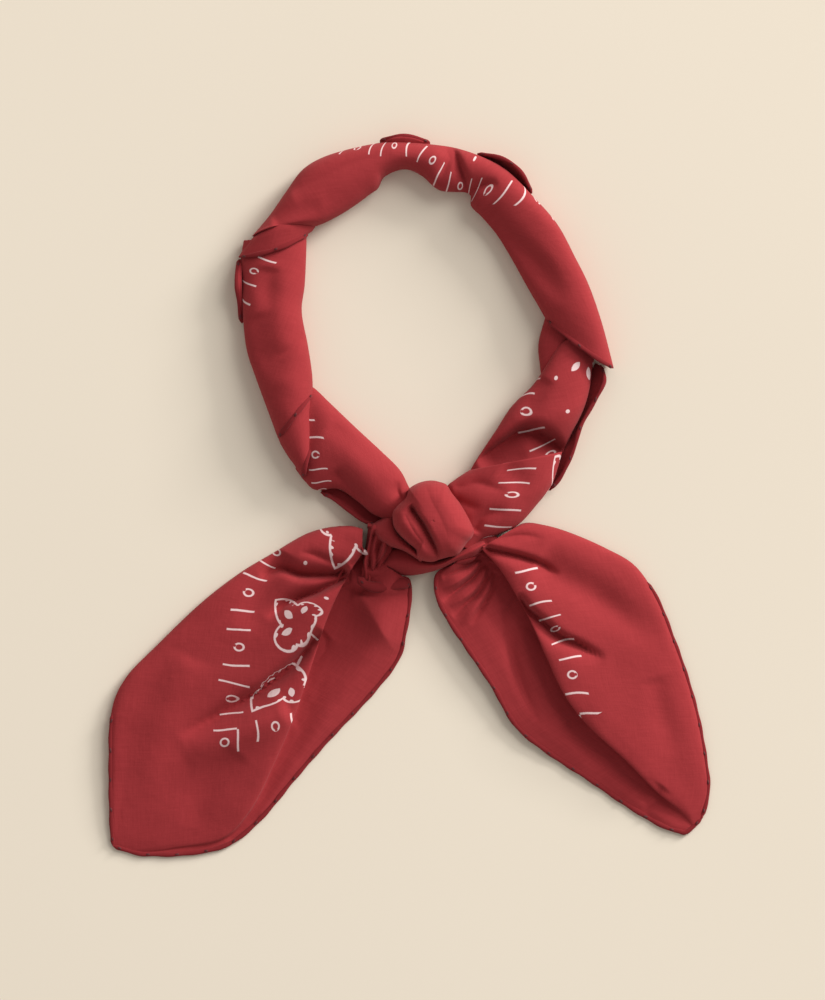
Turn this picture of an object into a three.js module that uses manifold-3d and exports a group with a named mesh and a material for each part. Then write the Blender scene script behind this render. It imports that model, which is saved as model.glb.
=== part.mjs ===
// A cotton bandana, rolled corner to corner into a band, tied in a loop and laid on a table.
// Units are millimetres, +Z is up, the table is z = 0 and +Y points from the knot to the top of the loop.
import * as THREE from "three";
import { mergeVertices } from "three/addons/utils/BufferGeometryUtils.js";
import Module from "manifold-3d";

const wasm = await Module();
wasm.setup();

// Driving sizes
const CLOTH = 1.2; // wall of one layer, seam allowance included
const HEM = 1.9; // rolled hem along a free edge
const GAP = 0.5; // clearance between two pieces that touch
const BELLY = 0.36; // share of a roll's height at which it is widest
const ROLL_POINTS = 22; // points round a roll
const SHORTEST_EDGE = 0.05; // a cut leaves no slivers below this
const KNOT_RINGS = 9;
const SHEET_POINTS = 30; // points across a tail
const ROLL_STEPS = 2; // sections made from one row of a table
const EDGE_STEPS = 3;
const TAIL_STEPS = 1.6;
const CENTRE = new THREE.Vector3(0.4, 0.75, 0); // middle of the outline, moved to the origin

const COTTON = { color: 0x9f2f36, roughness: 0.85, metalness: 0 };
const COTTON_BACK = { color: 0x93292f, roughness: 0.88, metalness: 0 };

// Turns rows of numbers into objects with the named columns.
function table(columns, rows) {
  const names = columns.split(" ");
  return rows.map((row) => Object.fromEntries(names.map((n, i) => [n, row[i]])));
}

// A roll has a row for each section: its edge outside the loop, its edge inside the loop and its height.
// bow moves the middle of a section along the roll, as a hem that crosses it at a curve does.
const ROLL = "outX outY inX inY height bow";

const rolls = {
  upper_left_roll: table(ROLL, [
    [-10.4, 135.3, -9.2, 122.4, 13, 0],
    [-22.5, 133, -11.7, 117.8, 13.5, 0],
    [-33.3, 129.6, -14.8, 115.5, 14, 0],
    [-41, 124.7, -19.4, 112, 14.5, 0],
    [-47.2, 116.3, -25.2, 108.2, 14.5, 0],
    [-53.7, 107, -31, 105.1, 14.5, 0],
    [-60.1, 99.5, -35.6, 103.2, 14, -2.2],
  ]),
  upper_left_turn: table(ROLL, [
    [-60.1, 98.6, -36.4, 102.2, 13, -2.2],
    [-63, 95, -37.2, 101.2, 12.5, 0],
    [-65.4, 91.4, -38.3, 100.6, 12, 2],
  ]),
  left_roll: table(ROLL, [
    [-64.4, 90.5, -39.2, 99.2, 11, 2],
    [-64, 80.9, -39.8, 81.6, 12.5, 0],
    [-63.6, 68.1, -41, 70.5, 13.5, 0],
    [-62.2, 55.8, -38.7, 57.8, 14, 0],
    [-58.7, 45, -37.2, 48.1, 14, 0],
    [-54.9, 34.6, -36.8, 42.7, 14, 0],
    [-50.2, 21.9, -36.8, 38.9, 13.5, 0],
  ]),
  left_turn: table(ROLL, [
    [-49.8, 21, -37.2, 37.6, 12.5, 0],
    [-46.4, 15, -37.2, 31.2, 12.5, 0],
    [-43.7, 11.2, -37, 25, 12, 0],
    [-40.8, 6.4, -37, 20.4, 11, 0],
  ]),
  lower_left_roll: table(ROLL, [
    [-39.8, 5.2, -36.1, 41, 10, 0],
    [-35.6, 1.9, -30.2, 35.4, 12, 0],
    [-27.1, 2.3, -20.6, 26.2, 13, 0],
    [-19.8, -2.3, -11, 17.3, 14, 0],
    [-14.4, -6.9, -3.3, 9.6, 14, 0],
    [-9.8, -9.2, 0.6, 2.3, 13, 0],
    [-4.8, -11.9, 5.2, -4.2, 11, 0],
  ]),
  top_roll: table(ROLL, [
    [-9.9, 135.5, -8.7, 122.4, 13, 0],
    [-3.3, 135.9, -1.7, 125.1, 13, 0],
    [8.3, 134.8, 4.8, 122.8, 13, 0],
    [18.7, 133.2, 12.1, 117, 13.5, 0],
    [29.3, 129.6, 22.7, 116.1, 14, 0],
  ]),
  right_roll: table(ROLL, [
    [29.7, 129.2, 23.1, 115.7, 14, 0],
    [38.3, 124.4, 24.1, 110.9, 14.5, 0],
    [47.9, 114.7, 28.3, 106.6, 14.5, 0],
    [57.2, 104, 34.1, 99.7, 14.5, 0],
    [64.1, 91.2, 39.5, 90.9, 14.5, 0],
    [69.5, 80.1, 44.9, 81.2, 14.5, 0],
    [74.5, 65.5, 49.5, 73.2, 14.5, 0],
    [78.9, 48.7, 52.6, 67.8, 13, -1],
  ]),
  right_inner_fold: table(ROLL, [
    [65.6, 57.6, 52.2, 67, 8, 0],
    [65.1, 56.4, 49.9, 57.8, 8, 0],
    [64.3, 54.8, 50.6, 49.2, 7.5, -2],
  ]),
  right_turn: table(ROLL, [
    [71.9, 54.2, 51.4, 47.4, 10.5, -4.4],
    [70.6, 48.1, 47.2, 41.6, 12, -2],
    [69.5, 40.4, 39.5, 33.9, 13, 0],
    [67.2, 32.7, 33.7, 25, 13.5, 0],
    [62.9, 23.9, 28.3, 16.9, 13, 0],
    [59.3, 17.1, 24.1, 10.1, 12.5, 0],
  ]),
  lower_right_roll: table(ROLL, [
    [59.1, 16.5, 23.3, 9.5, 14, 0],
    [55.2, 4.2, 18.3, 6.2, 14.5, 0],
    [49.5, -3.5, 14.8, 3.1, 14.5, 0],
    [42.5, -11.2, 15.6, -1.9, 14, 0],
    [35.2, -15, 16.7, -7.3, 13, 0],
    [28.7, -17.3, 18.3, -11.9, 12, 0],
  ]),
  knot_left_strand: table(ROLL, [
    [-13.9, -13.5, -13.7, -10.8, 9, 0],
    [-11.4, -16.9, -10.6, -9.2, 13, 0],
    [-7.5, -19.6, -6.7, -7.7, 16, 0],
    [-2.5, -21.2, -4.4, -12.7, 17, 0],
    [1, -23.2, 0.6, -17.6, 16, 0],
  ]),
  knot_lower_strand: table(ROLL, [
    [-9.4, -28.5, -10.2, -25.8, 6, 0],
    [-5.2, -30.4, -6.4, -22.3, 9, 0],
    [0.2, -31, -1.3, -21.6, 10, 0],
    [6, -30.2, 4.4, -23.5, 11, 0],
    [12.1, -28.5, 10.6, -25, 11, 0],
    [19.1, -25.4, 16.7, -22.7, 11, 0],
    [25.2, -23.5, 22.1, -18.9, 11, 0],
    [28.7, -20.8, 26, -17.7, 10, 0],
  ]),
  left_tail_neck: table(ROLL, [
    [-15.6, -13.5, -6.4, -17.3, 11, 0],
    [-16.7, -20.4, -7.9, -22.3, 11, 0],
    [-17.5, -25.8, -11, -28.1, 9.5, 0],
    [-17.1, -30, -12.5, -32.3, 7, 0],
  ]),
};

// An edge layer is a free edge of cloth that looks out from under a roll:
// a row has its foot, the rim above it and the height of the rim.
const EDGE = "footX footY rimX rimY rise";

const edgeLayers = {
  left_edge_layer: table(EDGE, [
    [-64.9, 89.7, -66.2, 89.7, 7],
    [-64.9, 85.5, -66.9, 85.5, 8],
    [-64.9, 80.5, -66.7, 80.5, 8],
    [-64.7, 75.1, -65.8, 75.1, 7],
    [-64.5, 68.1, -65, 67.4, 6],
  ]),
  top_edge_layer: table(EDGE, [
    [-11, 135.8, -11.4, 137, 8],
    [-7.1, 136.1, -7.1, 138.4, 9],
    [-2.5, 136.3, -2.5, 139, 9],
    [2.9, 135.9, 3.6, 138.6, 9],
    [8.3, 135.2, 9.2, 136.7, 8],
  ]),
  top_right_edge_layer: table(EDGE, [
    [19.2, 133.4, 20.1, 135.5, 8],
    [29.5, 129.8, 31, 132.2, 10],
    [37.1, 125.5, 39, 128.1, 11],
    [42.8, 120.4, 45.6, 122.4, 10],
    [47.1, 115.8, 48.7, 116.9, 8],
  ]),
  right_edge_layer: table(EDGE, [
    [73.3, 50, 78.2, 46.9, 7],
    [71.5, 46.4, 77.8, 44.6, 8],
    [70.2, 40.4, 74.9, 41.2, 8],
    [68, 32.7, 69.6, 32.7, 7],
    [63.7, 24.1, 65.8, 25.4, 7],
    [59.9, 16.6, 63.5, 16.2, 7],
    [57, 7.3, 59.4, 6.4, 6],
    [54.3, 1.9, 55.6, 2.5, 5],
  ]),
  lower_left_edge_layer: table(EDGE, [
    [-33.6, 1.3, -33.9, -0.4, 4],
    [-27.9, 0.9, -29.1, -2.1, 4.5],
    [-20.6, -3.3, -23.3, -5.6, 5],
    [-15.4, -7.8, -17.9, -10.4, 5.5],
    [-11.4, -10.2, -13.5, -12.9, 6],
  ]),
};

// A tail is one sheet. Each row is a section across it, from the edge of the panel that lies in front to the
// edge of the one behind. fold is the share of the width at which the front panel turns under, and depth how
// far it overlaps the back panel there (below zero the two run on in a slope).
const TAIL = "frontX frontY backX backY frontZ midZ crestZ fold edgeZ depth backZ hemZ";

const tails = {
  left_tail: table(TAIL, [
    [-17.6, -13, -17.8, -31.6, 7, 10, 11, 0.5, 8, 1.5, 5, 4],
    [-22.9, -11.9, -9, -33.9, 5, 10.5, 11, 0.5, 7, 2, 6, 5],
    [-31.8, -12.7, -0.6, -32.3, 3.5, 10, 10.5, 0.49, 6, 2, 7, 5],
    [-40.2, -15.4, 0.4, -40.4, 2.5, 9.5, 9, 0.48, 6, 2, 7, 3],
    [-51.4, -21.9, -1.3, -52, 2, 8.5, 10, 0.53, 8, 3, 5.5, 1.5],
    [-64.9, -30, -4.4, -63.5, 1.5, 7.5, 10, 0.565, 8, 4, 5, 0.6],
    [-79.9, -41.6, -15.2, -77.4, 1.2, 7, 9, 0.6, 6.5, 2, 4.5, 0.6],
    [-96.8, -57.8, -29.8, -92.8, 1, 6.5, 7.5, 0.7, 6, -6, 3, 0.6],
    [-108.8, -70.5, -43.7, -108.6, 0.8, 5.5, 6.5, 0.8, 5, -5, 2, 0.6],
    [-114.2, -83.5, -57.2, -124.7, 0.6, 4.5, 5.5, 0.85, 4, -3, 1.2, 0.6],
    [-114.9, -104, -70.3, -134.8, 0.6, 3.6, 3.5, 0.85, 2.5, -2, 0.9, 0.6],
    [-114.5, -123.2, -88, -138.2, 0.6, 2, 1.8, 0.85, 1.2, -1, 0.7, 0.6],
    [-113.8, -135.1, -106, -138, 0.6, 0.8, 0.8, 0.85, 0.7, -0.5, 0.6, 0.6],
  ]),
  right_tail: table(TAIL, [
    [35.5, -16.4, 24.1, -25.3, 5, 9, 9, 0.5, 7, 1, 6, 5],
    [43.7, -11, 12.5, -29.3, 2, 10, 11, 0.5, 8, 2, 8, 3],
    [52.6, -11.7, 10.6, -34.6, 1.5, 10, 11, 0.52, 8, 3, 7.5, 1.5],
    [62.9, -14.8, 11.6, -40.4, 1.5, 9, 11, 0.53, 8.5, 4, 6.5, 1],
    [75.7, -20.4, 16, -48.9, 1.5, 8.5, 11, 0.59, 9, 4, 5.5, 0.6],
    [87.2, -27.3, 23.7, -60.4, 1.2, 8, 11, 0.63, 9, 5, 5, 0.6],
    [95.7, -39.7, 32.5, -73.5, 1, 7.5, 10.5, 0.68, 8.5, 5, 4.5, 0.6],
    [101.8, -54.7, 41, -88.2, 0.8, 7, 9.5, 0.675, 8, 4.5, 4, 0.6],
    [107.2, -70.1, 52.6, -98.2, 0.6, 6.5, 8.5, 0.65, 7, 4, 3.5, 0.6],
    [111.5, -85.9, 69.5, -109.3, 0.6, 5.5, 7, 0.6, 6, 3, 2.8, 0.6],
    [114.5, -103.2, 85.3, -120.1, 0.6, 4, 5, 0.58, 4.2, 1.5, 1.8, 0.6],
    [115.3, -113.6, 98.8, -127.8, 0.6, 2.4, 2.6, 0.6, 2, -1, 1, 0.6],
    [113, -124.4, 108, -130.1, 0.6, 0.8, 0.8, 0.6, 0.7, -0.5, 0.6, 0.6],
  ]),
};

// The wrap of the knot: its outline seen from above, and its rings from the table up.
const wrapOutline = table("x y", [
  [3.5, 4.2],
  [10.6, 5.4],
  [17.1, 0.4],
  [22.9, -8.5],
  [24.4, -16.2],
  [18.7, -22.7],
  [10.6, -25.8],
  [5, -25],
  [0.2, -19.2],
  [-5.8, -12.7],
  [-4.4, -3.9],
]);
const wrapRings = table("z share", [
  [0, 0.8],
  [5, 0.96],
  [11, 1],
  [17, 0.97],
  [21, 0.88],
  [24, 0.7],
  [26, 0.44],
  [26.8, 0.14],
]);
const WRAP_POINTS = 34;

// Soft troughs in the cloth, each along a straight line from start to end.
const creases = table("startX startY endX endY width depth", [
  [1.5, -5, 11, -24.5, 1.8, 4],
  [-25, -27, -48, -28, 4, 3.5],
  [-26, -31, -42, -40, 3, 2.5],
  [-62, -77, -86, -96, 5, 2.5],
  [46, -43.7, 70.5, -62.8, 3, 4.5],
  [29, -21, 57.8, -29.6, 2.5, 2.5],
  [18, -33, 28, -27, 2.2, 2],
  [23, 103.5, 62, 80, 4, 1.5],
  [3, 127, 20, 128.5, 4, 2],
  [-30, 20, -12, 8, 3.5, 1.2],
]);

// A row of the table between its own rows, at t from 0 to 1, on a Catmull-Rom curve through every column.
function rowAt(rows, t) {
  const last = rows.length - 1;
  const at = Math.min(Math.floor(t * last), last - 1);
  const f = t * last - at;
  const near = [-1, 0, 1, 2].map((i) => rows[Math.min(Math.max(at + i, 0), last)]);
  const weights = [
    -0.5 * f + f * f - 0.5 * f ** 3,
    1 - 2.5 * f * f + 1.5 * f ** 3,
    0.5 * f + 2 * f * f - 1.5 * f ** 3,
    -0.5 * f * f + 0.5 * f ** 3,
  ];
  return Object.fromEntries(
    Object.keys(rows[0]).map((n) => [n, near.reduce((s, row, i) => s + row[n] * weights[i], 0)]),
  );
}

// How far the creases lower a point of the cloth that is seen from above.
function creaseDepth(x, y) {
  const p = new THREE.Vector2(x, y);
  return creases.reduce((sum, c) => {
    const start = new THREE.Vector2(c.startX, c.startY);
    const line = new THREE.Vector2(c.endX, c.endY).sub(start);
    const along = THREE.MathUtils.clamp(p.clone().sub(start).dot(line) / line.lengthSq(), 0, 1);
    const away = p.distanceTo(start.addScaledVector(line, along)) / c.width;
    return sum + c.depth * Math.exp(-away * away) * (1 - along ** 3);
  }, 0);
}

function geometryOf(points, faces) {
  const geometry = new THREE.BufferGeometry().setFromPoints(points);
  geometry.setIndex(faces);
  return geometry;
}

// The closed skin over rings of points, capped with a fan at each end.
function skinOver(rings) {
  const around = rings[0].length;
  const points = rings.flat();
  const faces = [];
  for (let i = 0; i < rings.length - 1; i++)
    for (let j = 0; j < around; j++) {
      const a = i * around + j;
      const b = i * around + ((j + 1) % around);
      faces.push(a, b, b + around, a, b + around, a + around);
    }
  [0, rings.length - 1].forEach((i) => {
    const middle = new THREE.Vector3();
    rings[i].forEach((p) => middle.addScaledVector(p, 1 / around));
    points.push(middle);
    for (let j = 0; j < around; j++) {
      const edge = [i * around + j, i * around + ((j + 1) % around)];
      faces.push(...(i ? edge : edge.reverse()), points.length - 1);
    }
  });
  return geometryOf(points, faces);
}

// A roll of folded cloth: rounded over, flat where it lies on the table. grow makes it larger all round.
function rollGeometry(rows, grow = 0) {
  const steps = (rows.length - 1) * ROLL_STEPS;
  const rings = [];
  for (let i = 0; i <= steps; i++) {
    const row = rowAt(rows, i / steps);
    const outer = new THREE.Vector3(row.outX, row.outY, 0);
    const inner = new THREE.Vector3(row.inX, row.inY, 0);
    const middle = outer.clone().add(inner).multiplyScalar(0.5);
    const across = outer.clone().sub(inner);
    const half = across.length() / 2;
    across.normalize();
    const forward = new THREE.Vector3(-across.y, across.x, 0);
    const end = grow * (i === 0 ? -1 : i === steps ? 1 : 0);
    const ring = [];
    for (let j = 0; j < ROLL_POINTS; j++) {
      const angle = (2 * Math.PI * j) / ROLL_POINTS;
      const side = Math.cos(angle);
      const lift = BELLY + (1 - BELLY) * Math.sin(angle);
      const p = middle.clone().addScaledVector(across, side * (half + grow));
      p.addScaledVector(forward, row.bow * (1 - side * side) * turnOf(rows) + end * turnOf(rows));
      const top = (row.height + grow) * lift;
      p.z = lift > BELLY ? top - creaseDepth(p.x, p.y) * ((lift - BELLY) / (1 - BELLY)) : top;
      p.z = Math.max(p.z, grow ? -1 : 0);
      ring.push(p);
    }
    rings.push(ring);
  }
  if (turnOf(rows) > 0) rings.forEach((ring) => ring.reverse());
  return skinOver(rings);
}

// 1 where a roll's rows run to the left of the line from inner to outer edge, -1 where they run to the right.
function turnOf(rows) {
  const first = rows[0];
  const last = rows[rows.length - 1];
  const across = new THREE.Vector2(first.outX - first.inX, first.outY - first.inY);
  const run = new THREE.Vector2(
    last.outX + last.inX - first.outX - first.inX,
    last.outY + last.inY - first.outY - first.inY,
  );
  return Math.sign(across.cross(run));
}

// A wall of cloth on a grid of points, thick all over and thicker where the hem function says so.
function wallGeometry(grid, thicknessAt) {
  const rows = grid.length;
  const columns = grid[0].length;
  const normals = grid.map((line, i) =>
    line.map((p, j) => {
      const u = grid[Math.min(i + 1, rows - 1)][j].clone().sub(grid[Math.max(i - 1, 0)][j]);
      const v = line[Math.min(j + 1, columns - 1)].clone().sub(line[Math.max(j - 1, 0)]);
      return u.cross(v).normalize();
    }),
  );
  const side = (sign) =>
    grid.flatMap((line, i) =>
      line.map((p, j) => {
        const q = p.clone().addScaledVector(normals[i][j], (sign * thicknessAt(i, j)) / 2);
        q.z = Math.max(q.z, 0);
        return q;
      }),
    );
  const points = [...side(1), ...side(-1)];
  const back = rows * columns;
  const faces = [];
  const quad = (a, b, c, d) => faces.push(a, b, c, a, c, d);
  for (let i = 0; i < rows - 1; i++)
    for (let j = 0; j < columns - 1; j++) {
      const a = i * columns + j;
      quad(a, a + columns, a + columns + 1, a + 1);
      quad(back + a, back + a + 1, back + a + columns + 1, back + a + columns);
    }
  for (let i = 0; i < rows - 1; i++)
    [0, columns - 1].forEach((j) => {
      const a = i * columns + j;
      if (j) quad(a, a + columns, back + a + columns, back + a);
      else quad(a, back + a, back + a + columns, a + columns);
    });
  for (let j = 0; j < columns - 1; j++)
    [0, rows - 1].forEach((i) => {
      const a = i * columns + j;
      if (i) quad(a, back + a, back + a + 1, a + 1);
      else quad(a, a + 1, back + a + 1, back + a);
    });
  return geometryOf(points, faces);
}

// The free edge of a layer that looks out from under a roll, with its rolled hem at the rim.
function edgeLayerGeometry(rows) {
  const steps = (rows.length - 1) * EDGE_STEPS;
  const rise = [0, 0.3, 0.65, 0.85, 1];
  const grid = [];
  for (let i = 0; i <= steps; i++) {
    const row = rowAt(rows, i / steps);
    const foot = new THREE.Vector3(row.footX, row.footY, 0);
    const rim = new THREE.Vector3(row.rimX, row.rimY, row.rise);
    grid.push(rise.map((share) => foot.clone().lerp(rim, share)));
  }
  return wallGeometry(grid, (i, j) => (j === rise.length - 1 ? HEM : CLOTH));
}

// One section across a tail: a smooth curve from the front edge, over the front panel, under its fold and
// out along the back panel to the hem.
function tailSection(row) {
  const front = new THREE.Vector3(row.frontX, row.frontY, 0);
  const back = new THREE.Vector3(row.backX, row.backY, 0);
  const width = front.distanceTo(back);
  const fold = row.fold * width;
  const tuck = fold - row.depth;
  const rest = width - tuck;
  const outline = [
    [0, row.frontZ],
    [0.12 * fold, row.frontZ + 0.45 * (row.midZ - row.frontZ)],
    [0.45 * fold, row.midZ],
    [0.8 * fold, row.crestZ],
    [fold, row.edgeZ],
    [fold - 0.5 * row.depth, 0.5 * row.edgeZ + 0.3],
    [tuck + 0.06 * rest, CLOTH / 2 + 0.12 * row.edgeZ],
    [tuck + 0.25 * rest, CLOTH / 2 + 0.2 * row.backZ],
    [tuck + 0.6 * rest, row.backZ],
    [tuck + 0.86 * rest, 0.45 * row.backZ + 0.55 * row.hemZ],
    [width, row.hemZ],
  ];
  const curve = new THREE.CatmullRomCurve3(
    outline.map(([across, z]) => new THREE.Vector3(across, 0, z)),
    false,
    "centripetal",
  );
  return curve.getSpacedPoints(SHEET_POINTS - 1).map((p) => {
    const q = front.clone().lerp(back, p.x / width);
    q.z = Math.max(p.z, CLOTH / 2);
    return q;
  });
}

function tailGeometry(rows) {
  const steps = Math.round((rows.length - 1) * TAIL_STEPS);
  const grid = [];
  for (let i = 0; i <= steps; i++)
    grid.push(
      tailSection(rowAt(rows, i / steps)).map((p) => {
        p.z = Math.max(p.z - creaseDepth(p.x, p.y), CLOTH / 2);
        return p;
      }),
    );
  const edge = (i, j) => i === steps || j === SHEET_POINTS - 1 || j === 0;
  return wallGeometry(grid, (i, j) => (edge(i, j) ? HEM : CLOTH));
}

// The wrap of the knot, a rounded cushion of folded cloth with a deep crease.
function wrapGeometry(grow = 0) {
  const loop = new THREE.CatmullRomCurve3(
    wrapOutline.map(({ x, y }) => new THREE.Vector3(x, y, 0)),
    true,
    "centripetal",
  ).getSpacedPoints(WRAP_POINTS);
  loop.pop();
  const middle = new THREE.Vector3();
  loop.forEach((p) => middle.addScaledVector(p, 1 / loop.length));
  const rings = [];
  for (let i = 0; i < KNOT_RINGS; i++) {
    const { z, share } = rowAt(wrapRings, i / (KNOT_RINGS - 1));
    rings.push(
      loop.map((p) => {
        const out = p.clone().sub(middle);
        const q = middle.clone().addScaledVector(out, share + grow / out.length());
        q.z = i === 0 ? -grow : z + grow - creaseDepth(q.x, q.y) * Math.min(z / 20, 1);
        return q;
      }),
    );
  }
  if (loopTurnsRight(loop, middle)) rings.forEach((ring) => ring.reverse());
  return skinOver(rings);
}

function loopTurnsRight(loop, middle) {
  const a = loop[0].clone().sub(middle);
  const b = loop[1].clone().sub(middle);
  return a.cross(b).z < 0;
}

// Solids for cutting. A geometry's shared vertices are merged first, so that its skin is closed.
function solidOf(geometry) {
  const bare = geometry.clone();
  ["normal", "uv"].forEach((name) => bare.deleteAttribute(name));
  const merged = mergeVertices(bare, 1e-4);
  return new wasm.Manifold(
    new wasm.Mesh({
      numProp: 3,
      vertProperties: merged.attributes.position.array,
      triVerts: new Uint32Array(merged.index.array),
    }),
  );
}

function geometryFrom(solid) {
  const { vertProperties, triVerts } = solid.getMesh();
  const geometry = new THREE.BufferGeometry();
  geometry.setAttribute("position", new THREE.BufferAttribute(vertProperties, 3));
  geometry.setIndex(new THREE.BufferAttribute(triVerts, 1));
  return geometry;
}

// What is left of a piece once its neighbours, grown by the gap, are cut away. Crumbs are dropped.
function cutBy(geometry, neighbours) {
  let solid = solidOf(geometry);
  neighbours.forEach((name) => {
    solid = solid.subtract(solidOf(grown(name)));
  });
  const bodies = solid.decompose();
  bodies.sort((a, b) => b.volume() - a.volume());
  return geometryFrom(bodies[0].simplify(SHORTEST_EDGE));
}

function grown(name) {
  return name === "knot_wrap" ? wrapGeometry(GAP) : rollGeometry(rolls[name], GAP);
}

// Which finished neighbours each piece makes room for.
const makesRoomFor = {
  lower_right_roll: ["knot_wrap"],
  lower_left_roll: ["knot_wrap", "knot_left_strand", "left_roll", "left_turn"],
  knot_left_strand: ["knot_wrap"],
  knot_lower_strand: ["knot_wrap", "knot_left_strand", "lower_right_roll"],
  left_tail_neck: ["knot_wrap", "knot_left_strand", "knot_lower_strand", "lower_left_roll"],
  left_tail: ["knot_wrap", "knot_left_strand", "knot_lower_strand", "left_tail_neck", "lower_left_roll"],
  right_tail: ["knot_wrap", "knot_lower_strand", "lower_right_roll"],
  right_turn: ["right_inner_fold", "right_roll"],
  right_inner_fold: ["right_roll"],
  left_edge_layer: ["left_roll", "upper_left_turn"],
  top_edge_layer: ["upper_left_roll", "top_roll"],
  top_right_edge_layer: ["top_roll", "right_roll"],
  right_edge_layer: ["right_roll", "right_turn", "lower_right_roll"],
  lower_left_edge_layer: ["lower_left_roll", "knot_left_strand", "left_tail_neck", "left_turn"],
};

const bandana = new THREE.Group();

function addPiece(name, geometry, finish) {
  const shape = makesRoomFor[name] ? cutBy(geometry, makesRoomFor[name]) : geometry;
  const mesh = new THREE.Mesh(shape, new THREE.MeshStandardMaterial(finish));
  mesh.name = name;
  mesh.position.copy(CENTRE).negate();
  bandana.add(mesh);
}

Object.entries(rolls).forEach(([name, rows]) => addPiece(name, rollGeometry(rows), COTTON));
Object.entries(edgeLayers).forEach(([name, rows]) => addPiece(name, edgeLayerGeometry(rows), COTTON_BACK));
Object.entries(tails).forEach(([name, rows]) => addPiece(name, tailGeometry(rows), COTTON));
addPiece("knot_wrap", wrapGeometry(), COTTON);

export default bandana;
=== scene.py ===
# %% [markdown]
# A knotted bandana, seen from straight above
#
# A square of printed cotton is rolled corner to corner, bent into a loop and tied once. Each stretch of it
# is a thin skin here, laid over the solid that collides, and this lesson goes from plain numbers to cloth.
#
# Lengths are millimetres until a mesh is made. X runs right, Y runs up the picture and Z comes towards us.

import math

import bpy
import numpy as np
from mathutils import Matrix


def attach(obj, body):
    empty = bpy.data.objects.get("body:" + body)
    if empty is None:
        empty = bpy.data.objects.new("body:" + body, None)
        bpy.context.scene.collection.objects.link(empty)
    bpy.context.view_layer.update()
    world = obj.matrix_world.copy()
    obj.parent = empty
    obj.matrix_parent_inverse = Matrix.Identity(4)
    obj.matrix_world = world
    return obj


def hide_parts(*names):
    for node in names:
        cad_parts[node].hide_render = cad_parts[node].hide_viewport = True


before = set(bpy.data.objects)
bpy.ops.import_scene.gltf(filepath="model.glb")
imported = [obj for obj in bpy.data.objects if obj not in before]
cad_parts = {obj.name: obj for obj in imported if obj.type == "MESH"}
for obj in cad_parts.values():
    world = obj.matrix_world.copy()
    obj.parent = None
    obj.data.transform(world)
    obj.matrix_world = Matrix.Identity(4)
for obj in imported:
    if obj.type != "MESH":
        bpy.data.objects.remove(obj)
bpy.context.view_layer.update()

CENTRE = np.array([0.4, 0.75, 0.0])  # the tables' zero, seen from the frame's origin
CLOTH_SIDE = 550.0
SHELL = 0.4  # thickness of the cloth
SEED = 11
draw = np.random.default_rng(SEED)

# %% [markdown]
# Reading the tables
#
# Every form starts as a short table: a row for each section, and named columns. A smooth curve through a
# column gives as many sections as a mesh needs.

# %% Tables and curves


def rows_between(rows, count):
    """count rows on Catmull-Rom curves through every column of the table."""
    last = len(rows) - 1
    t = np.linspace(0, last, count)
    at = np.minimum(t.astype(int), last - 1)
    f = (t - at)[:, None]
    near = [rows[np.clip(at + k, 0, last)] for k in (-1, 0, 1, 2)]
    return (
        near[0] * (-0.5 * f + f**2 - 0.5 * f**3)
        + near[1] * (1 - 2.5 * f**2 + 1.5 * f**3)
        + near[2] * (0.5 * f + 2 * f**2 - 1.5 * f**3)
        + near[3] * (-0.5 * f**2 + 0.5 * f**3)
    )


def curves_through(control, per_span):
    """A smooth curve through each row of control points, with per_span points in every span."""
    ends = [2 * control[:, :1] - control[:, 1:2], 2 * control[:, -1:] - control[:, -2:-1]]
    points = np.concatenate([ends[0], control, ends[1]], axis=1)
    gaps = np.linalg.norm(np.diff(points, axis=1), axis=2) ** 0.5 + 1e-6
    knots = np.concatenate([np.zeros((len(control), 1)), np.cumsum(gaps, axis=1)], axis=1)
    spans = []
    for i in range(control.shape[1] - 1):
        p = [points[:, i + k][:, None] for k in range(4)]
        t = [knots[:, i + k][:, None, None] for k in range(4)]
        at = t[1] + (t[2] - t[1]) * np.linspace(0, 1, per_span, endpoint=False)[None, :, None]
        a = [p[k] + (p[k + 1] - p[k]) * (at - t[k]) / (t[k + 1] - t[k]) for k in range(3)]
        b = [a[k] + (a[k + 1] - a[k]) * (at - t[k]) / (t[k + 2] - t[k]) for k in range(2)]
        spans.append(b[0] + (b[1] - b[0]) * (at - t[1]) / (t[2] - t[1]))
    spans.append(control[:, -1:])
    return np.concatenate(spans, axis=1)


def line_through(points, count):
    """count points, evenly spaced along a smooth line through a few."""
    fine = curves_through(np.array(points, float)[None], 24)[0]
    along = np.concatenate([[0], np.cumsum(np.linalg.norm(np.diff(fine, axis=0), axis=1))])
    at = np.linspace(0, along[-1], count)
    return np.stack([np.interp(at, along, fine[:, k]) for k in range(fine.shape[1])], axis=1)


# %% [markdown]
# Creases
#
# A crease is a soft trough along a line, seen from above. Its two sides have their own widths, because a
# fold that leans has one steep side. A depth below zero makes a ridge. Each fades out towards its far end.

# %% Creases

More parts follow.
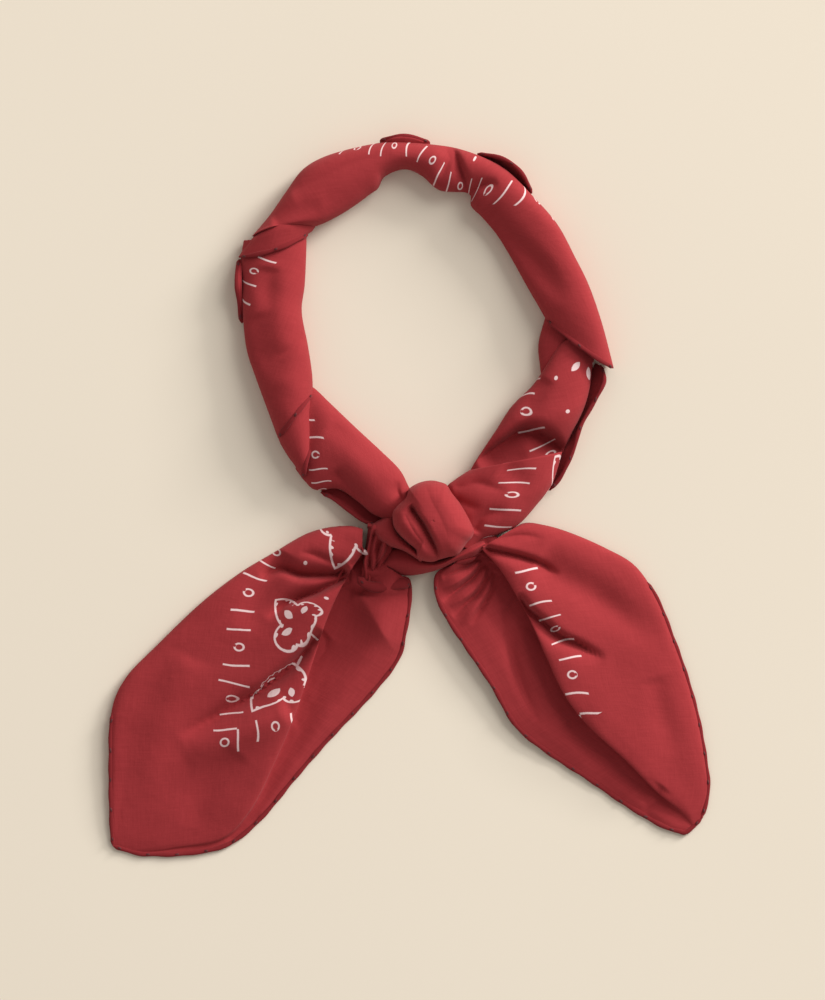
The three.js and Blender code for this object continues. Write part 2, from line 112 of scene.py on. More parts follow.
CREASES = [
    # piece, width left of the line, width right of it, depth, points of the line
    ("left_tail", 1.2, 2.8, 8,
     [(-22, -29.5), (-28, -30.6), (-34, -31), (-41.8, -30.8), (-49.5, -28.5), (-57, -32)]),
    ("left_tail", 1.1, 2.6, 8.5,
     [(-22.3, -31.5), (-30.2, -34.8), (-36, -37.8), (-41.8, -39.8), (-47, -42), (-54, -48)]),
    ("left_tail", 1.3, 1.5, 2, [(-24, -29.5), (-29, -26), (-36, -23), (-42, -22)]),
    ("left_tail", 1.5, 1.5, 1.6, [(-22.6, -27), (-19.5, -25.1), (-15.2, -21.7)]),
    ("left_tail", 3.4, 2, 8,
     [(-33, -52), (-42.7, -63), (-55.6, -73.9), (-64.2, -79.2), (-74.5, -85.3), (-88, -93)]),
    ("left_tail", 1.2, 1.6, 1.2, [(-38, -59), (-44, -66), (-52, -72), (-58, -75.5)]),
    ("left_tail", 6, 5, -3, [(-45.3, -82.7), (-62.5, -91.3), (-74.5, -96.4), (-86.7, -101)]),
    ("left_tail", 8, 3.5, -2.6, [(-19, -37), (-11.8, -50), (-4.5, -61)]),
    ("left_tail", 2.4, 2.4, 2.2, [(-20, -37.2), (-12, -39), (-5.4, -38.8), (1, -38)]),
    ("left_tail", 6, 7, 2.2, [(-47.5, -22), (-56.4, -36.6), (-62.3, -52)]),
    ("left_tail", 6, 6, 1.2, [(-66, -98), (-78, -112), (-84, -128)]),
    ("left_tail", 7, 6, -1.2, [(-84, -62), (-92, -80), (-98, -100), (-100, -118)]),
    ("left_tail", 1.6, 1.6, 0.9, [(-56, -124), (-62, -128), (-70, -133)]),
    ("right_tail", 0.9, 3, 7,
     [(42, -38), (46.2, -43.8), (52, -48.8), (57.9, -53.8), (64.9, -57), (76, -63)]),
    ("right_tail", 0.9, 2.4, 5.5, [(28.6, -20), (37.8, -22.2), (44.5, -23.9), (51.2, -26.4), (58, -31)]),
    ("right_tail", 2, 2, 2, [(28.3, -19.1), (37.8, -16.2), (44.5, -15.5), (52, -16.8)]),
    ("right_tail", 7, 6, 3,
     [(49, -26), (59.2, -32), (70.2, -38), (79.9, -44.8), (89.7, -51.5), (99.8, -58.2)]),
    ("right_tail", 0.9, 1.6, 3.4, [(28.2, -22.8), (22.7, -27.1), (16.6, -30.1), (13, -32)]),
    ("right_tail", 0.9, 1.6, 4, [(30, -24.1), (25.1, -31.4), (21.5, -34.4), (17.2, -37.7), (13, -41)]),
    ("right_tail", 0.9, 1.6, 4, [(32.4, -25.9), (30.2, -32), (26.4, -38.1), (21.5, -42.3), (17, -47)]),
    ("right_tail", 0.9, 1.4, 3, [(34.2, -29.5), (32.2, -36.2), (29, -42.3), (24, -50)]),
    ("right_tail", 1.6, 1.4, -1.8, [(28.6, -25), (23, -30.5), (17, -34.5), (13, -36)]),
    ("right_tail", 1.6, 1.4, -2, [(31, -27.5), (26.5, -35), (20, -40.5), (16, -43)]),
    ("right_tail", 1.6, 1.4, -1.6, [(33, -30), (29.5, -38), (25, -44), (20, -50)]),
    ("right_tail", 3.4, 1.6, 3.4, [(37.5, -43), (38.5, -52.5), (40.5, -64.2), (44.8, -76.1), (50.7, -88)]),
    ("right_tail", 4, 4.5, 1.6, [(62, -86), (72, -100), (86, -112), (98, -119)]),
    ("right_tail", 2, 2.4, 1.1, [(98, -112), (93, -119), (90, -124)]),
    ("right_tail", 5, 4.5, 1, [(94, -70), (98, -86), (104, -100)]),
    ("knot_wrap", 0.7, 2.2, 6,
     [(0.8, -3.6), (3.4, -7.7), (5.6, -10.8), (7.8, -14.8), (9.6, -18.3), (11, -21.6), (12, -27)]),
    ("knot_wrap", 1.3, 1.1, 0.7, [(-1.5, -7), (1.5, -13), (5.5, -18.5), (8, -22)]),
    ("knot_wrap", 1.4, 2.4, 0.35, [(6.1, 5), (8.7, -2), (12.3, -9), (16, -18)]),
    ("knot_wrap", 2, 1.6, 0.3, [(11, 4.5), (16, -3), (19.5, -12)]),
    ("lower_right_roll", 2.6, 2.2, 2, [(17, 3.4), (21.1, 3.3), (26, 4.6), (32.2, 2.9), (38, 1)]),
    ("lower_right_roll", 1.6, 2, 1.6, [(17.5, -1.5), (23.8, -4.2), (28, -5.1)]),
    ("lower_right_roll", 2.2, 2.6, 2.2, [(24.5, -14), (28.2, -8.6), (32.3, -6.6), (38, -6.4)]),
    ("lower_right_roll", 4.5, 5, 1.4, [(36, 11), (42, 6), (46, 0)]),
    ("right_turn", 1.8, 5.5, 11,
     [(26, 13), (37, 20.5), (44.5, 25), (51.5, 23), (57.5, 18.5), (66, 12), (74, 6)]),
    ("left_tail_neck", 0.6, 1.1, 5, [(-12.6, -13.5), (-14.4, -20), (-15, -26), (-14, -31), (-14, -36)]),
    ("left_tail_neck", 0.6, 1.1, 5, [(-9.6, -16), (-11.4, -22), (-12.4, -27), (-13, -32), (-13, -36)]),
    ("right_turn", 4, 5, 1.6, [(52, 45), (47, 36), (42, 29)]),
    ("upper_roll", 4, 5, 3.2,
     [(27, 110), (31.4, 105.1), (37.9, 98.2), (46, 91.2), (53.7, 82), (59.1, 73.2)]),
    ("upper_roll", 2.2, 2.6, 2.8, [(14.3, 134.5), (15.5, 129.6), (14, 125.1), (11, 120)]),
    ("upper_roll", 1.6, 1.8, 3.4, [(20.2, 113.3), (24.2, 116.8), (28.6, 118.8), (34.5, 119.8)]),
    ("upper_roll", 1, 2.6, 4,
     [(15.5, 136), (17.8, 132.5), (20.1, 124.7), (23, 116.8), (25, 108), (27, 100)]),
    ("upper_roll", 3.5, 4, 1.4, [(-45.1, 115.8), (-33.3, 121.7), (-19.5, 128.1), (-6, 131)]),
    ("upper_roll", 2, 2, 2.6, [(-9.8, 119.2), (-5, 123.1), (2.1, 123.6), (6, 121)]),
    ("upper_roll", 4, 4, 1.6, [(-52, 104), (-42, 109), (-33, 111)]),
    ("lower_left_roll", 1.5, 1.5, 2.4, [(-2.2, -2.1), (-4.1, 1.5), (-3.4, 5.6)]),
    ("lower_left_roll", 2, 3, 2.6, [(-28.4, 9.3), (-20.5, 0.6), (-11, -6.4)]),
    ("lower_left_roll", 4, 4, 1.2, [(-30, 28), (-20, 20), (-9, 12)]),
    ("left_roll", 6, 5, 1.6, [(-59.8, 69.2), (-55.9, 55.4), (-50, 42.7)]),
    ("left_roll", 4, 5, 1.6, [(-52.9, 87.4), (-53.9, 77.5), (-54.4, 66)]),
    ("left_roll", 1.6, 1.8, 1.2, [(-40, 62), (-45, 56), (-52, 52)]),
]


WIDE = 4.0  # a crease as wide as this is a soft hollow, a narrower one has a sharp bottom
SOFT, SHARP = 2.0, 1.25
EASE, FADE = 0.1, 0.5  # shares of a crease's length in which it starts and in which it fades out


def trough(points, line, left, right):
    """How near points lie to a line, 1 on it and fading to 0 beside it and past its end."""
    ends = line_through(line, 24)
    step = np.diff(ends, axis=0)
    away = points[:, None] - ends[:-1]
    share = np.clip((away * step).sum(2) / (step**2).sum(1), 0, 1)
    off = away - share[..., None] * step
    distance = np.linalg.norm(off, axis=2)
    nearest = distance.argmin(axis=1)
    rows = np.arange(len(points))
    side = step[nearest, 0] * off[rows, nearest, 1] - step[nearest, 1] * off[rows, nearest, 0]
    width = np.where(side > 0, left, right)
    power = SOFT if min(left, right) >= WIDE else SHARP
    along = (nearest + share[rows, nearest]) / len(step)
    start = np.sin(np.clip(along / EASE, 0, 1) * math.pi / 2)
    ease = start * np.sin(np.clip((1 - along) / FADE, 0, 1) * math.pi / 2)
    return np.exp(-((distance[rows, nearest] / width) ** power)) * ease


def crease(name, grid, weight):
    """Lowers a grid along the creases of its piece, in the share that weight gives for each point."""
    flat = grid[..., :2].reshape(-1, 2)
    drop = np.zeros(len(flat))
    for piece, left, right, depth, line in CREASES:
        if piece == name:
            drop += depth * trough(flat, line, left, right)
    grid[..., 2] -= drop.reshape(grid.shape[:2]) * weight
    return grid


WAVES = 7


def ripple(grid, weight, height, length):
    """Adds low uneven waves, as in cloth that has been handled."""
    x, y = grid[..., 0], grid[..., 1]
    waves = np.zeros(x.shape)
    for _ in range(WAVES):
        angle, phase = draw.uniform(0, 2 * math.pi, 2)
        pitch = length * draw.uniform(0.6, 1.7)
        bend = 0.6 * np.sin((x * math.sin(angle) - y * math.cos(angle)) * 2 * math.pi / (pitch * 2.3) + phase)
        waves += np.sin((x * math.cos(angle) + y * math.sin(angle)) * 2 * math.pi / pitch + phase + bend)
    grid[..., 2] += waves / WAVES * height * weight
    return grid


# %% [markdown]
# The place of each piece in the cloth
#
# The print is one pattern on a flat square. To print a piece, we say where a few of its marks lie, and turn
# and slide the square until they match. Each point listens most to the marks nearest to it, so the drawing
# keeps its own size and still bends with the cloth.
# A row is a mark's x and y on the table, then its two distances from the hems of the square.

# %% Marks of the print

MARKS = {
    "left_tail": [
        (-65.6, -89.3, 47.8, 47.8), (-70.6, -95.1, 43, 43), (-50.6, -88.9, 62, 46), (-45.2, -85.5, 69, 47),
        (-68.3, -78.5, 46, 62), (-66.4, -65.5, 46, 76), (-64.9, -52, 46, 90.4), (-62.6, -37.3, 46, 104.6),
        (-59.5, -31.6, 46, 111.7), (-54.5, -25.8, 46, 118.8), (-50.6, -23.1, 46, 125.9),
        (-42.9, -48.1, 71, 91),
        (-51.4, -73.2, 63, 66), (-27.9, -27.7, 75, 128.4), (-29.8, -14.5, 71.4, 139.8),
        (-114.2, -136.7, 0, 0.5), (-114.2, -80.9, 0, 57),
    ],
    "right_tail": [
        (66.6, -83.9, 48, 47), (63.7, -75.5, 55, 46), (62.9, -68.5, 62, 46), (61.8, -62.4, 69, 46),
        (59.5, -53.5, 76, 46), (54.9, -48.5, 90, 46), (49.9, -41.2, 97.5, 46), (47.5, -35, 104.6, 46),
        (44.9, -29.3, 111.7, 46), (56, -28, 111.7, 35), (60.5, -40, 97.5, 35), (75, -62, 69, 33),
        (76.5, -75.5, 55, 33), (79, -84, 48, 35), (43, -20, 119, 46),
        (111.1, -130.9, 0, 0), (114.5, -113.6, 17, 0), (108.4, -80.9, 52, 1),
        (98.4, -55.8, 78, 1), (81.4, -48.1, 86, 20), (58.3, -19.2, 118, 30),
    ],
    "right_turn": [
        (45.6, 39.3, 133, 46), (45.2, 32.3, 125.9, 46), (48.7, 26.2, 118.8, 46), (52.2, 19.2, 111.7, 46),
        (60.6, 31.2, 125, 62), (56, 44.3, 141, 62), (68, 46.6, 139, 75),
    ],
    "lower_right_roll": [
        (46.8, 16.2, 104.6, 46), (44.3, 11.2, 97.5, 46), (40.8, 5.2, 90.4, 46), (38.6, 0.4, 83.3, 46),
        (37.2, -5, 76.2, 46), (34.5, -12.3, 69.1, 46), (30.1, -16.6, 62, 46), (55.2, 9.6, 97, 60),
    ],
    "upper_roll": [
        (-44, 122, 238, 30), (-33, 129.6, 227, 36), (-26, 111, 226, 12), (-6, 124, 189, 32),
        (-24.8, 132.1, 218, 46), (-19.1, 132.8, 210.9, 46), (-11, 133.8, 196.8, 46),
        (-0.6, 134.4, 182.6, 46),
        (6.4, 132.1, 175.5, 46), (9.8, 129, 168.4, 46), (12.5, 124.7, 161.3, 46), (16, 117.8, 154.2, 46),
        (25.6, 115.9, 133, 46), (30.6, 117, 125.9, 46), (36, 115.9, 118.8, 46), (44.1, 114.7, 111.7, 46),
        (49.9, 113.2, 104.6, 46), (22.5, 126.3, 143, 63), (64, 92, 84, 36), (42, 92, 84, 14),
        (72, 68, 62, 30),
    ],
    "lower_left_roll": [
        (-35.2, 19.6, 118.8, 46), (-35.6, 15.4, 125.9, 46), (-35.2, 10.4, 133, 46), (-35.2, 5.8, 140.1, 46),
        (-33.5, 0.9, 147.2, 46), (-24.4, 11.6, 126, 34), (-34, 36, 103, 33),
    ],
    "left_roll": [
        (-55.2, 89.7, 118.8, 46), (-59.3, 86.4, 125.9, 46), (-62.3, 81.4, 133, 46), (-51.4, 78.9, 131, 34),
    ],
}
TUCKS = {
    # ends of a fold that hides a strip of the cloth, and that strip: the left side's place less the right's
    "left_tail": [((-40, -60), (-60, -76), (6, -6))],
}
PLAIN = 150.0  # so far in from the hem that nothing is printed


def tucked_in(name, points):
    """How far the folds of a piece move the print beside them, from points on the table."""
    moved = np.zeros((len(points), 2))
    for start, end, strip in TUCKS.get(name, []):
        start, run = np.array(start, float), np.subtract(end, start)
        ahead = run / np.linalg.norm(run)
        off = points - start
        share = off @ ahead / np.linalg.norm(run)
        beside = ahead[0] * off[:, 1] - ahead[1] * off[:, 0]
        near = np.exp(-np.abs(beside) / 14) * np.clip(2.6 - np.abs(share - 0.5) * 3.2, 0, 1)
        moved += (np.tanh(beside / 0.35) * near / 2)[:, None] * strip
    return moved


STIFF = 20.0  # square millimetres: how strongly the cloth keeps its shape against the marks


def cloth_place(flat, marks, reach=8.0):
    """Where flat points lie in the cloth's square: each point turns and slides with the marks near it."""
    here, there = marks[:, :2].copy(), marks[:, 2:]
    turn_a, _, turn_b = np.linalg.svd((here - here.mean(0)).T @ (there - there.mean(0)))
    if np.linalg.det(turn_a @ turn_b) < 0:  # this side shows the cloth's print mirrored
        here, flat = here * [1, -1], flat * [1, -1]
    weight = 1 / (((flat[:, None] - here) ** 2).sum(2) + reach**2) ** 2
    weight /= weight.sum(1, keepdims=True)
    middle_here, middle_there = weight @ here, weight @ there
    a, b = here - middle_here[:, None], there - middle_there[:, None]
    spread = np.einsum("nk,nki,nkj->nij", weight, a, a)
    match = np.einsum("nk,nki,nkj->nij", weight, a, b)
    cosine, sine = match[:, 0, 0] + match[:, 1, 1], match[:, 0, 1] - match[:, 1, 0]
    turn = np.array([[cosine, sine], [-sine, cosine]]).transpose(2, 0, 1)
    turn /= np.hypot(cosine, sine)[:, None, None]
    change = np.linalg.solve(spread + STIFF * np.eye(2), match + STIFF * turn)
    return middle_there + np.einsum("ni,nij->nj", flat - middle_here, change)


def roll_place(name, grid, top):
    """Cloth places for a roll: its skin is laid flat first, by arc lengths, and then matched to its marks."""
    around = np.linalg.norm(np.diff(grid, axis=1, append=grid[:, :1]), axis=2).mean(0)
    along = np.linalg.norm(np.diff(grid.mean(1), axis=0), axis=1)
    u = np.concatenate([[0], np.cumsum(along)])
    v = np.concatenate([[0], np.cumsum(around)[:-1]])
    flat = np.stack(np.meshgrid(u, v, indexing="ij"), axis=2)
    if name not in MARKS:
        return flat + PLAIN
    marks = np.array(MARKS[name], float)
    marks[:, 2:] -= tucked_in(name, marks[:, :2])
    seen = top > 0.2
    for mark in marks:
        nearest = ((grid[seen][:, :2] - mark[:2]) ** 2).sum(1).argmin()
        mark[:2] = flat[seen][nearest]
    place = cloth_place(flat.reshape(-1, 2), marks) + tucked_in(name, grid[..., :2].reshape(-1, 2))
    return place.reshape(flat.shape)


# %% [markdown]
# Cotton
#
# The shader is written as sums. A small class puts Python's operators on Blender's sockets, so that
# `(x - 1) * 2` adds two Math nodes. Names follow the cloth: `edge` is the distance from the nearest hem and
# `run` the distance along it, counted from the corner.

# %% Shader arithmetic


class Value:
    """A number in a shader tree, which changes over the surface."""

    def __init__(self, tree, socket):
        self.tree, self.socket = tree, socket

    def node(self, kind, inputs, output=0, **settings):
        """Adds any node, with inputs by name or place, and returns its output."""
        made = self.tree.nodes.new(kind)
        for key, value in settings.items():
            setattr(made, key, value)
        for key, value in inputs.items():
            if isinstance(value, Value):
                self.tree.links.new(value.socket, made.inputs[key])
            else:
                made.inputs[key].default_value = value
        return Value(self.tree, made.outputs[output])

    def math(self, operation, *others, clamp=False):
        numbers = dict(enumerate((self, *others)))
        return self.node("ShaderNodeMath", numbers, operation=operation, use_clamp=clamp)

    def __add__(self, other):
        return self.math("ADD", other)

    def __sub__(self, other):
        return self.math("SUBTRACT", other)

    def __mul__(self, other):
        return self.math("MULTIPLY", other)

    def __truediv__(self, other):
        return self.math("DIVIDE", other)

    def __rsub__(self, other):
        return self * -1 + other

    def __neg__(self):
        return self * -1

    __radd__, __rmul__ = __add__, __mul__

    def least(self, other):
        return self.math("MINIMUM", other)

    def most(self, other):
        return self.math("MAXIMUM", other)

    def size(self):
        return self.math("ABSOLUTE")

    def sine(self):
        return self.math("SINE")

    def root(self):
        return self.math("SQRT")

    def rounded(self):
        return (self + 0.5).math("FLOOR")

    def remainder(self, length):
        return self.math("FLOORED_MODULO", length)

    def inside(self, soft=0.12):
        """1 where the number is below zero, 0 above it, with a soft edge."""
        return (self / -soft + 0.5).math("ADD", 0.0, clamp=True)

    def mix(self, first, second):
        """first where this is 0 and second where it is 1, as colours."""
        return self.node(
            "ShaderNodeMix", {0: self, 6: first, 7: second}, output=2, data_type="RGBA"
        )


def length(x, y):
    return (x * x + y * y).root()


# %% [markdown]
# The print
#
# Along each hem runs a row of hand-drawn strokes and small rings, in the order ring, stroke, stroke. Inside
# it are lobed leaves with a toothed outline and a seed in each lobe. All are signed distances: below zero is
# ink. `least` joins two shapes, and `most` keeps only what both share.

# %% The print's shapes

PITCH = 7.1  # from one mark of the border to the next
BORDER = 46.0  # from the hem to the middle of the border
LEAF_PITCH = PITCH * 9
FIRST_REPEAT = 202.0  # along the hem, where the row of leaves starts to repeat
FAR = 100  # moves a shape out of sight


def border(edge, run):
    """Strokes and rings along the hems, and a bracket with a ring in each corner."""
    place = ((run - 62) / PITCH).rounded()
    slip = run - 62 - place * PITCH
    is_stroke = place.remainder(3).least(1)
    wobble = (place * 2.4).sine()
    lean = (edge - BORDER) * wobble * 0.05 + ((edge - BORDER) * 0.45 + place).sine() * 0.18
    corner = (run - 51.3).inside()
    far = (edge - 45.5 + wobble * 0.4 + corner * 1.9).size() - 4.4
    stroke = ((slip + lean).size() - 0.36).most(far)
    radius = length((edge - BORDER - wobble * 0.5) * 0.9, slip - wobble * 0.3)
    opening = length(edge - BORDER + 1.3, slip - wobble * 0.9) - 0.6
    is_open = wobble.math("GREATER_THAN", -0.2)
    ring = ((radius - 1.45).size() - 0.34).most(-opening * is_open - (1 - is_open))
    marks = stroke * is_stroke + ring * (1 - is_stroke)
    marks = marks.most(44.3 - run)
    corner_ring = (length(edge - 43, run - 43) - 1.5).size() - 0.34
    return marks.least(corner_ring)


def lens(along, across, long, wide):
    """A pointed oval, so long and so wide from its middle."""
    radius = (long**2 + wide**2) / (2 * wide)
    return length(along, across.size() + (radius - wide)) - radius


def leaf(x, y):
    """A leaf that grows along x from its stem at zero: its toothed line, then its three seeds."""
    along, across = x + (y * 0.3).sine() * 0.3, y + (x * 0.35).sine() * 0.2
    half = across.size()
    tip = lens(along - 12.6, across, 12.0, 4.9)
    lobe = length(along - 9.2, half - 7.3) - 4.8
    base = length(along - 7.6, across) - 7.9
    blade = tip.least(lobe).least(base)
    tooth = ((across * 1.6).sine() + (along * 2.6).sine()).most(0.0)
    outline = (blade - 0.42).most(-blade - 0.45 - tooth * tooth * 0.3)
    stem = (across.size() - 0.4).most((along + 2.2).size() - 2.2)
    middle_seed = lens(along - 13.2, across - 0.4, 3.1, 1.4)
    lean_a, lean_b = math.cos(math.radians(52)), math.sin(math.radians(52))
    out, up = half - 5.6, along - 9.6
    side_seed = lens(up * lean_a + out * lean_b, up * lean_b - out * lean_a, 2.6, 1.2)
    return outline.least(stem), middle_seed.least(side_seed)


def turned(x, y, centre, angle):
    """x and y as seen from a centre, with the first axis turned to an angle in degrees."""
    x, y = x - centre[0], y - centre[1]
    ca, sa = math.cos(math.radians(angle)), math.sin(math.radians(angle))
    return x * ca + y * sa, y * ca - x * sa


DOTS = [(77, 110), (89, 111), (62, 125), (62, 141), (101, 124)]  # distances from the hem and along it
DOT_RADIUS = 0.95


def printed(start):
    """The distance from the nearest ink, from the cloth's own coordinates."""
    place = start.node("ShaderNodeUVMap", {}, uv_map="cloth")
    across, up = (start.node("ShaderNodeSeparateXYZ", {0: place}, output=i) for i in (0, 1))
    a = (CLOTH_SIDE / 2) - (across - CLOTH_SIDE / 2).size()
    b = (CLOTH_SIDE / 2) - (up - CLOTH_SIDE / 2).size()
    edge, run = a.least(b), a.most(b)
    early = (run - FIRST_REPEAT + 30).math("LESS_THAN", 0.0) * FAR
    repeat = (run - FIRST_REPEAT + LEAF_PITCH / 2).remainder(LEAF_PITCH) - LEAF_PITCH / 2 + early
    ink = border(edge, run)
    for x, y in (
        turned(a, b, (71.6, 71.6), 225),
        turned(edge, run, (76.7, 86.5), 141),
        turned(edge, repeat, (75.3, -7.6), 53),
    ):
        line, seeds = leaf(x, y)
        ink = ink.least(line).least(seeds)
    on_first_side = a.math("LESS_THAN", b)  # one side of the square has this leaf's line, the other its seeds
    line, seeds = leaf(*turned(edge, run, (78, 152), 263))
    ink = ink.least(line + (1 - on_first_side) * FAR).least(seeds + on_first_side * FAR)
    for x, y in DOTS:
        ink = ink.least(length(edge - x, run - y) - DOT_RADIUS)
    return ink, across, up


# %% [markdown]
# The cloth's surface
#
# Plain-woven cotton is matt with a faint fuzz at grazing angles. The threads are a third of a millimetre
# apart and each varies a little in thickness and in how much dye it took.

# %% Cotton material

RED = (0.368, 0.037, 0.042, 1)
DEEP_RED = (0.270, 0.023, 0.027, 1)
# The hems' two reds are darker than the cloth's: painted shade, so that the rolled hems look shaded and catch
# no highlight.
HEM_PAINTED_SHADE_RED = (0.190, 0.016, 0.019, 1)
HEM_PAINTED_SHADE_LIGHT_RED = (0.240, 0.020, 0.024, 1)
INK = (0.80, 0.60, 0.60, 1)
THREAD = 0.42


def new_material(name, roughness):
    material = bpy.data.materials.new(name)
    material.use_nodes = True
    tree = material.node_tree
    shader = tree.nodes["Principled BSDF"]
    shader.inputs["Roughness"].default_value = roughness
    return material, tree, shader, Value(tree, None)


def noise(start, place, scale, detail=2.0):
    vector = {"Vector": place} if place else {}
    return start.node("ShaderNodeTexNoise", {**vector, "Scale": scale, "Detail": detail})


def cotton(name, is_printed, dark=DEEP_RED, light=RED):
    """Plain-weave cotton that varies at random between two reds, with or without the print. The hems' darker
    pair of reds is painted shade.
    """
    material, tree, shader, start = new_material(name, 0.86)
    shader.inputs["Specular IOR Level"].default_value = 0.12
    shader.inputs["Sheen Weight"].default_value = 0.10
    shader.inputs["Sheen Tint"].default_value = (1.0, 0.55, 0.55, 1)
    shader.inputs["Sheen Roughness"].default_value = 0.5
    ink, across, up = printed(start)
    warp = (across * (2 * math.pi / THREAD)).sine()
    weft = (up * (2 * math.pi / THREAD)).sine()
    stretched = start.node("ShaderNodeCombineXYZ", {0: across * 0.05, 1: up * 0.9})
    crosswise = start.node("ShaderNodeCombineXYZ", {0: across * 0.9, 1: up * 0.05})
    slub = noise(start, stretched, 2.2) + noise(start, crosswise, 2.2)
    here = start.node("ShaderNodeTexCoord", {}, output="Object")
    cloud = noise(start, here, 38.0, 3.0)
    dye = ((slub - 1.0) * 0.75 + (cloud - 0.5) * 0.6 + 0.55).math("ADD", 0.0, clamp=True)
    colour = dye.mix(dark, light)
    if is_printed:
        worn = (noise(start, stretched, 9.0) - 0.5) * 0.35
        coverage = (ink + worn).inside(0.22) * 0.94
        colour = coverage.mix(colour, INK)
    tree.links.new(colour.socket, shader.inputs["Base Color"])
    weave = warp * weft * 0.5 + slub * 0.8
    crumple = noise(start, here, 150.0, 3.0)
    soft = start.node("ShaderNodeBump", {"Strength": 0.4, "Distance": 0.0006, "Height": crumple})
    threads = {"Strength": 0.3, "Distance": 0.00012, "Height": weave, "Normal": soft}
    bump = start.node("ShaderNodeBump", threads)
    tree.links.new(bump.socket, shader.inputs["Normal"])
    return material


COTTON = cotton("printed cotton", True)
PLAIN_COTTON = cotton("plain cotton", False)
# The hems get the darker reds: painted shade on the rolled edges.
SHADED_HEM_COTTON = cotton("hem cotton with painted shade", False, HEM_PAINTED_SHADE_RED, HEM_PAINTED_SHADE_LIGHT_RED)


def thread_material():
    """Sewing thread, darker than the cloth, with its twist."""
    material, tree, shader, start = new_material("sewing thread", 0.7)
    place = start.node("ShaderNodeTexCoord", {}, output="Object")
    tone = noise(start, place, 900.0)
    colour = tone.mix((0.060, 0.005, 0.007, 1), (0.130, 0.011, 0.014, 1))
    tree.links.new(colour.socket, shader.inputs["Base Color"])
    return material


THREAD_DARK = thread_material()

# %% [markdown]
# From a grid to a piece of cloth
#
# Every piece is a grid of points. A roll's grid closes round itself, and a sheet's doesn't. The shell turns
# the surface into cloth of real thickness, inwards, so that the outside keeps its size.

# %% Meshes


def faces_of(rows, columns, closed):
    i, j = np.meshgrid(np.arange(rows - 1), np.arange(columns if closed else columns - 1), indexing="ij")
    a, b = i * columns + j, i * columns + (j + 1) % columns
    return np.stack([a, b, b + columns, a + columns], axis=2).reshape(-1, 4)


def skin(name, points, faces, place, material, shell=SHELL):
    """A smooth mesh with its places in the cloth, from millimetres to the frame's metres."""
    mesh = bpy.data.meshes.new(name)
    mesh.from_pydata(((points - CENTRE) / 1000).tolist(), [], faces.tolist())
    mesh.polygons.foreach_set("use_smooth", [True] * len(mesh.polygons))
    layer = mesh.uv_layers.new(name="cloth")
    layer.data.foreach_set("uv", place[faces.reshape(-1)].astype(np.float32).reshape(-1))
    mesh.materials.append(material)
    piece = bpy.data.objects.new(name, mesh)
    bpy.context.collection.objects.link(piece)
    if shell:
        thick = piece.modifiers.new("Shell", "SOLIDIFY")
        thick.thickness = shell / 1000
        thick.offset = -1
    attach(piece, "root")
    return piece


def cloth(name, grid, place, nodes, closed=False, material=COTTON, printed=None):
    """A piece of cloth from its grid, standing for CAD nodes, which it hides."""
    rows, columns = grid.shape[:2]
    faces = faces_of(rows, columns, closed)
    points = grid.reshape(-1, 3)
    if facing(points, faces, closed) < 0:
        faces = faces[:, ::-1]
    piece = skin("cloth_" + name, points, faces, place.reshape(-1, 2), material)
    if printed:  # its first row, its last row and its last column
        piece.data.materials.append(PLAIN_COTTON)
        row = np.repeat(np.arange(rows - 1), columns - 1)
        column = np.tile(np.arange(columns - 1), rows - 1)
        is_plain = (row < printed[0]) | (row > printed[1]) | (column >= printed[2])
        piece.data.polygons.foreach_set("material_index", is_plain.astype(np.int32))
    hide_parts(*nodes)
    return piece


def facing(points, faces, closed):
    """Above zero where faces look out of a roll, or up from a sheet."""
    a, b, c = (points[faces[:, k]] for k in (0, 1, 2))
    if closed:
        middle = points - points.mean(0)
        a, b, c = (middle[faces[:, k]] for k in (0, 1, 2))
        return np.einsum("ij,ij->i", a, np.cross(b, c)).sum()
    return np.cross(b - a, c - a)[:, 2].sum()


hems = []  # lines of every rolled hem, for the stitches


HEM_STEP = 0.9  # between two rings of a hem's bead
HEM_SIDES = 12


def hem(name, line, width=1.7, height=0.8):
    """The rolled edge of the cloth, as a small bead along a line."""
    line = np.asarray(line, float)
    count = max(int(np.linalg.norm(np.diff(line, axis=0), axis=1).sum() / HEM_STEP), 4)
    line = line_through(line[:: max(len(line) // 40, 1)], count)
    ahead = np.gradient(line, axis=0)
    ahead /= np.linalg.norm(ahead, axis=1, keepdims=True)
    side = np.cross(ahead, [0, 0, 1.0])
    side /= np.linalg.norm(side, axis=1, keepdims=True) + 1e-9
    up = np.cross(side, ahead)
    wander = 1 + 0.13 * np.sin(np.arange(count) * 0.55 + draw.uniform(0, 6))
    angle = np.linspace(0, 2 * math.pi, HEM_SIDES, endpoint=False)
    grid = (
        line[:, None]
        + side[:, None] * (np.cos(angle)[:, None] * width / 2) * wander[:, None, None]
        + up[:, None] * (np.sin(angle)[:, None] * height / 2) * wander[:, None, None]
    )
    grid[..., 2] = np.maximum(grid[..., 2], 0.05)
    taper = np.minimum(1, np.minimum(np.arange(count), np.arange(count)[::-1]) / 2 + 0.1)[:, None, None]
    grid = line[:, None] + (grid - line[:, None]) * taper
    u = np.arange(count) * HEM_STEP
    place = np.stack(np.meshgrid(u, angle * 0.8, indexing="ij"), axis=2) + 5
    faces = faces_of(count, HEM_SIDES, True)
    points = grid.reshape(-1, 3)
    # The hem's material is darker than the cloth: painted shade.
    piece = skin(name, points, faces, place.reshape(-1, 2), SHADED_HEM_COTTON, shell=0)
    hems.append((line + up * height * 0.46)[3:-3])
    return piece


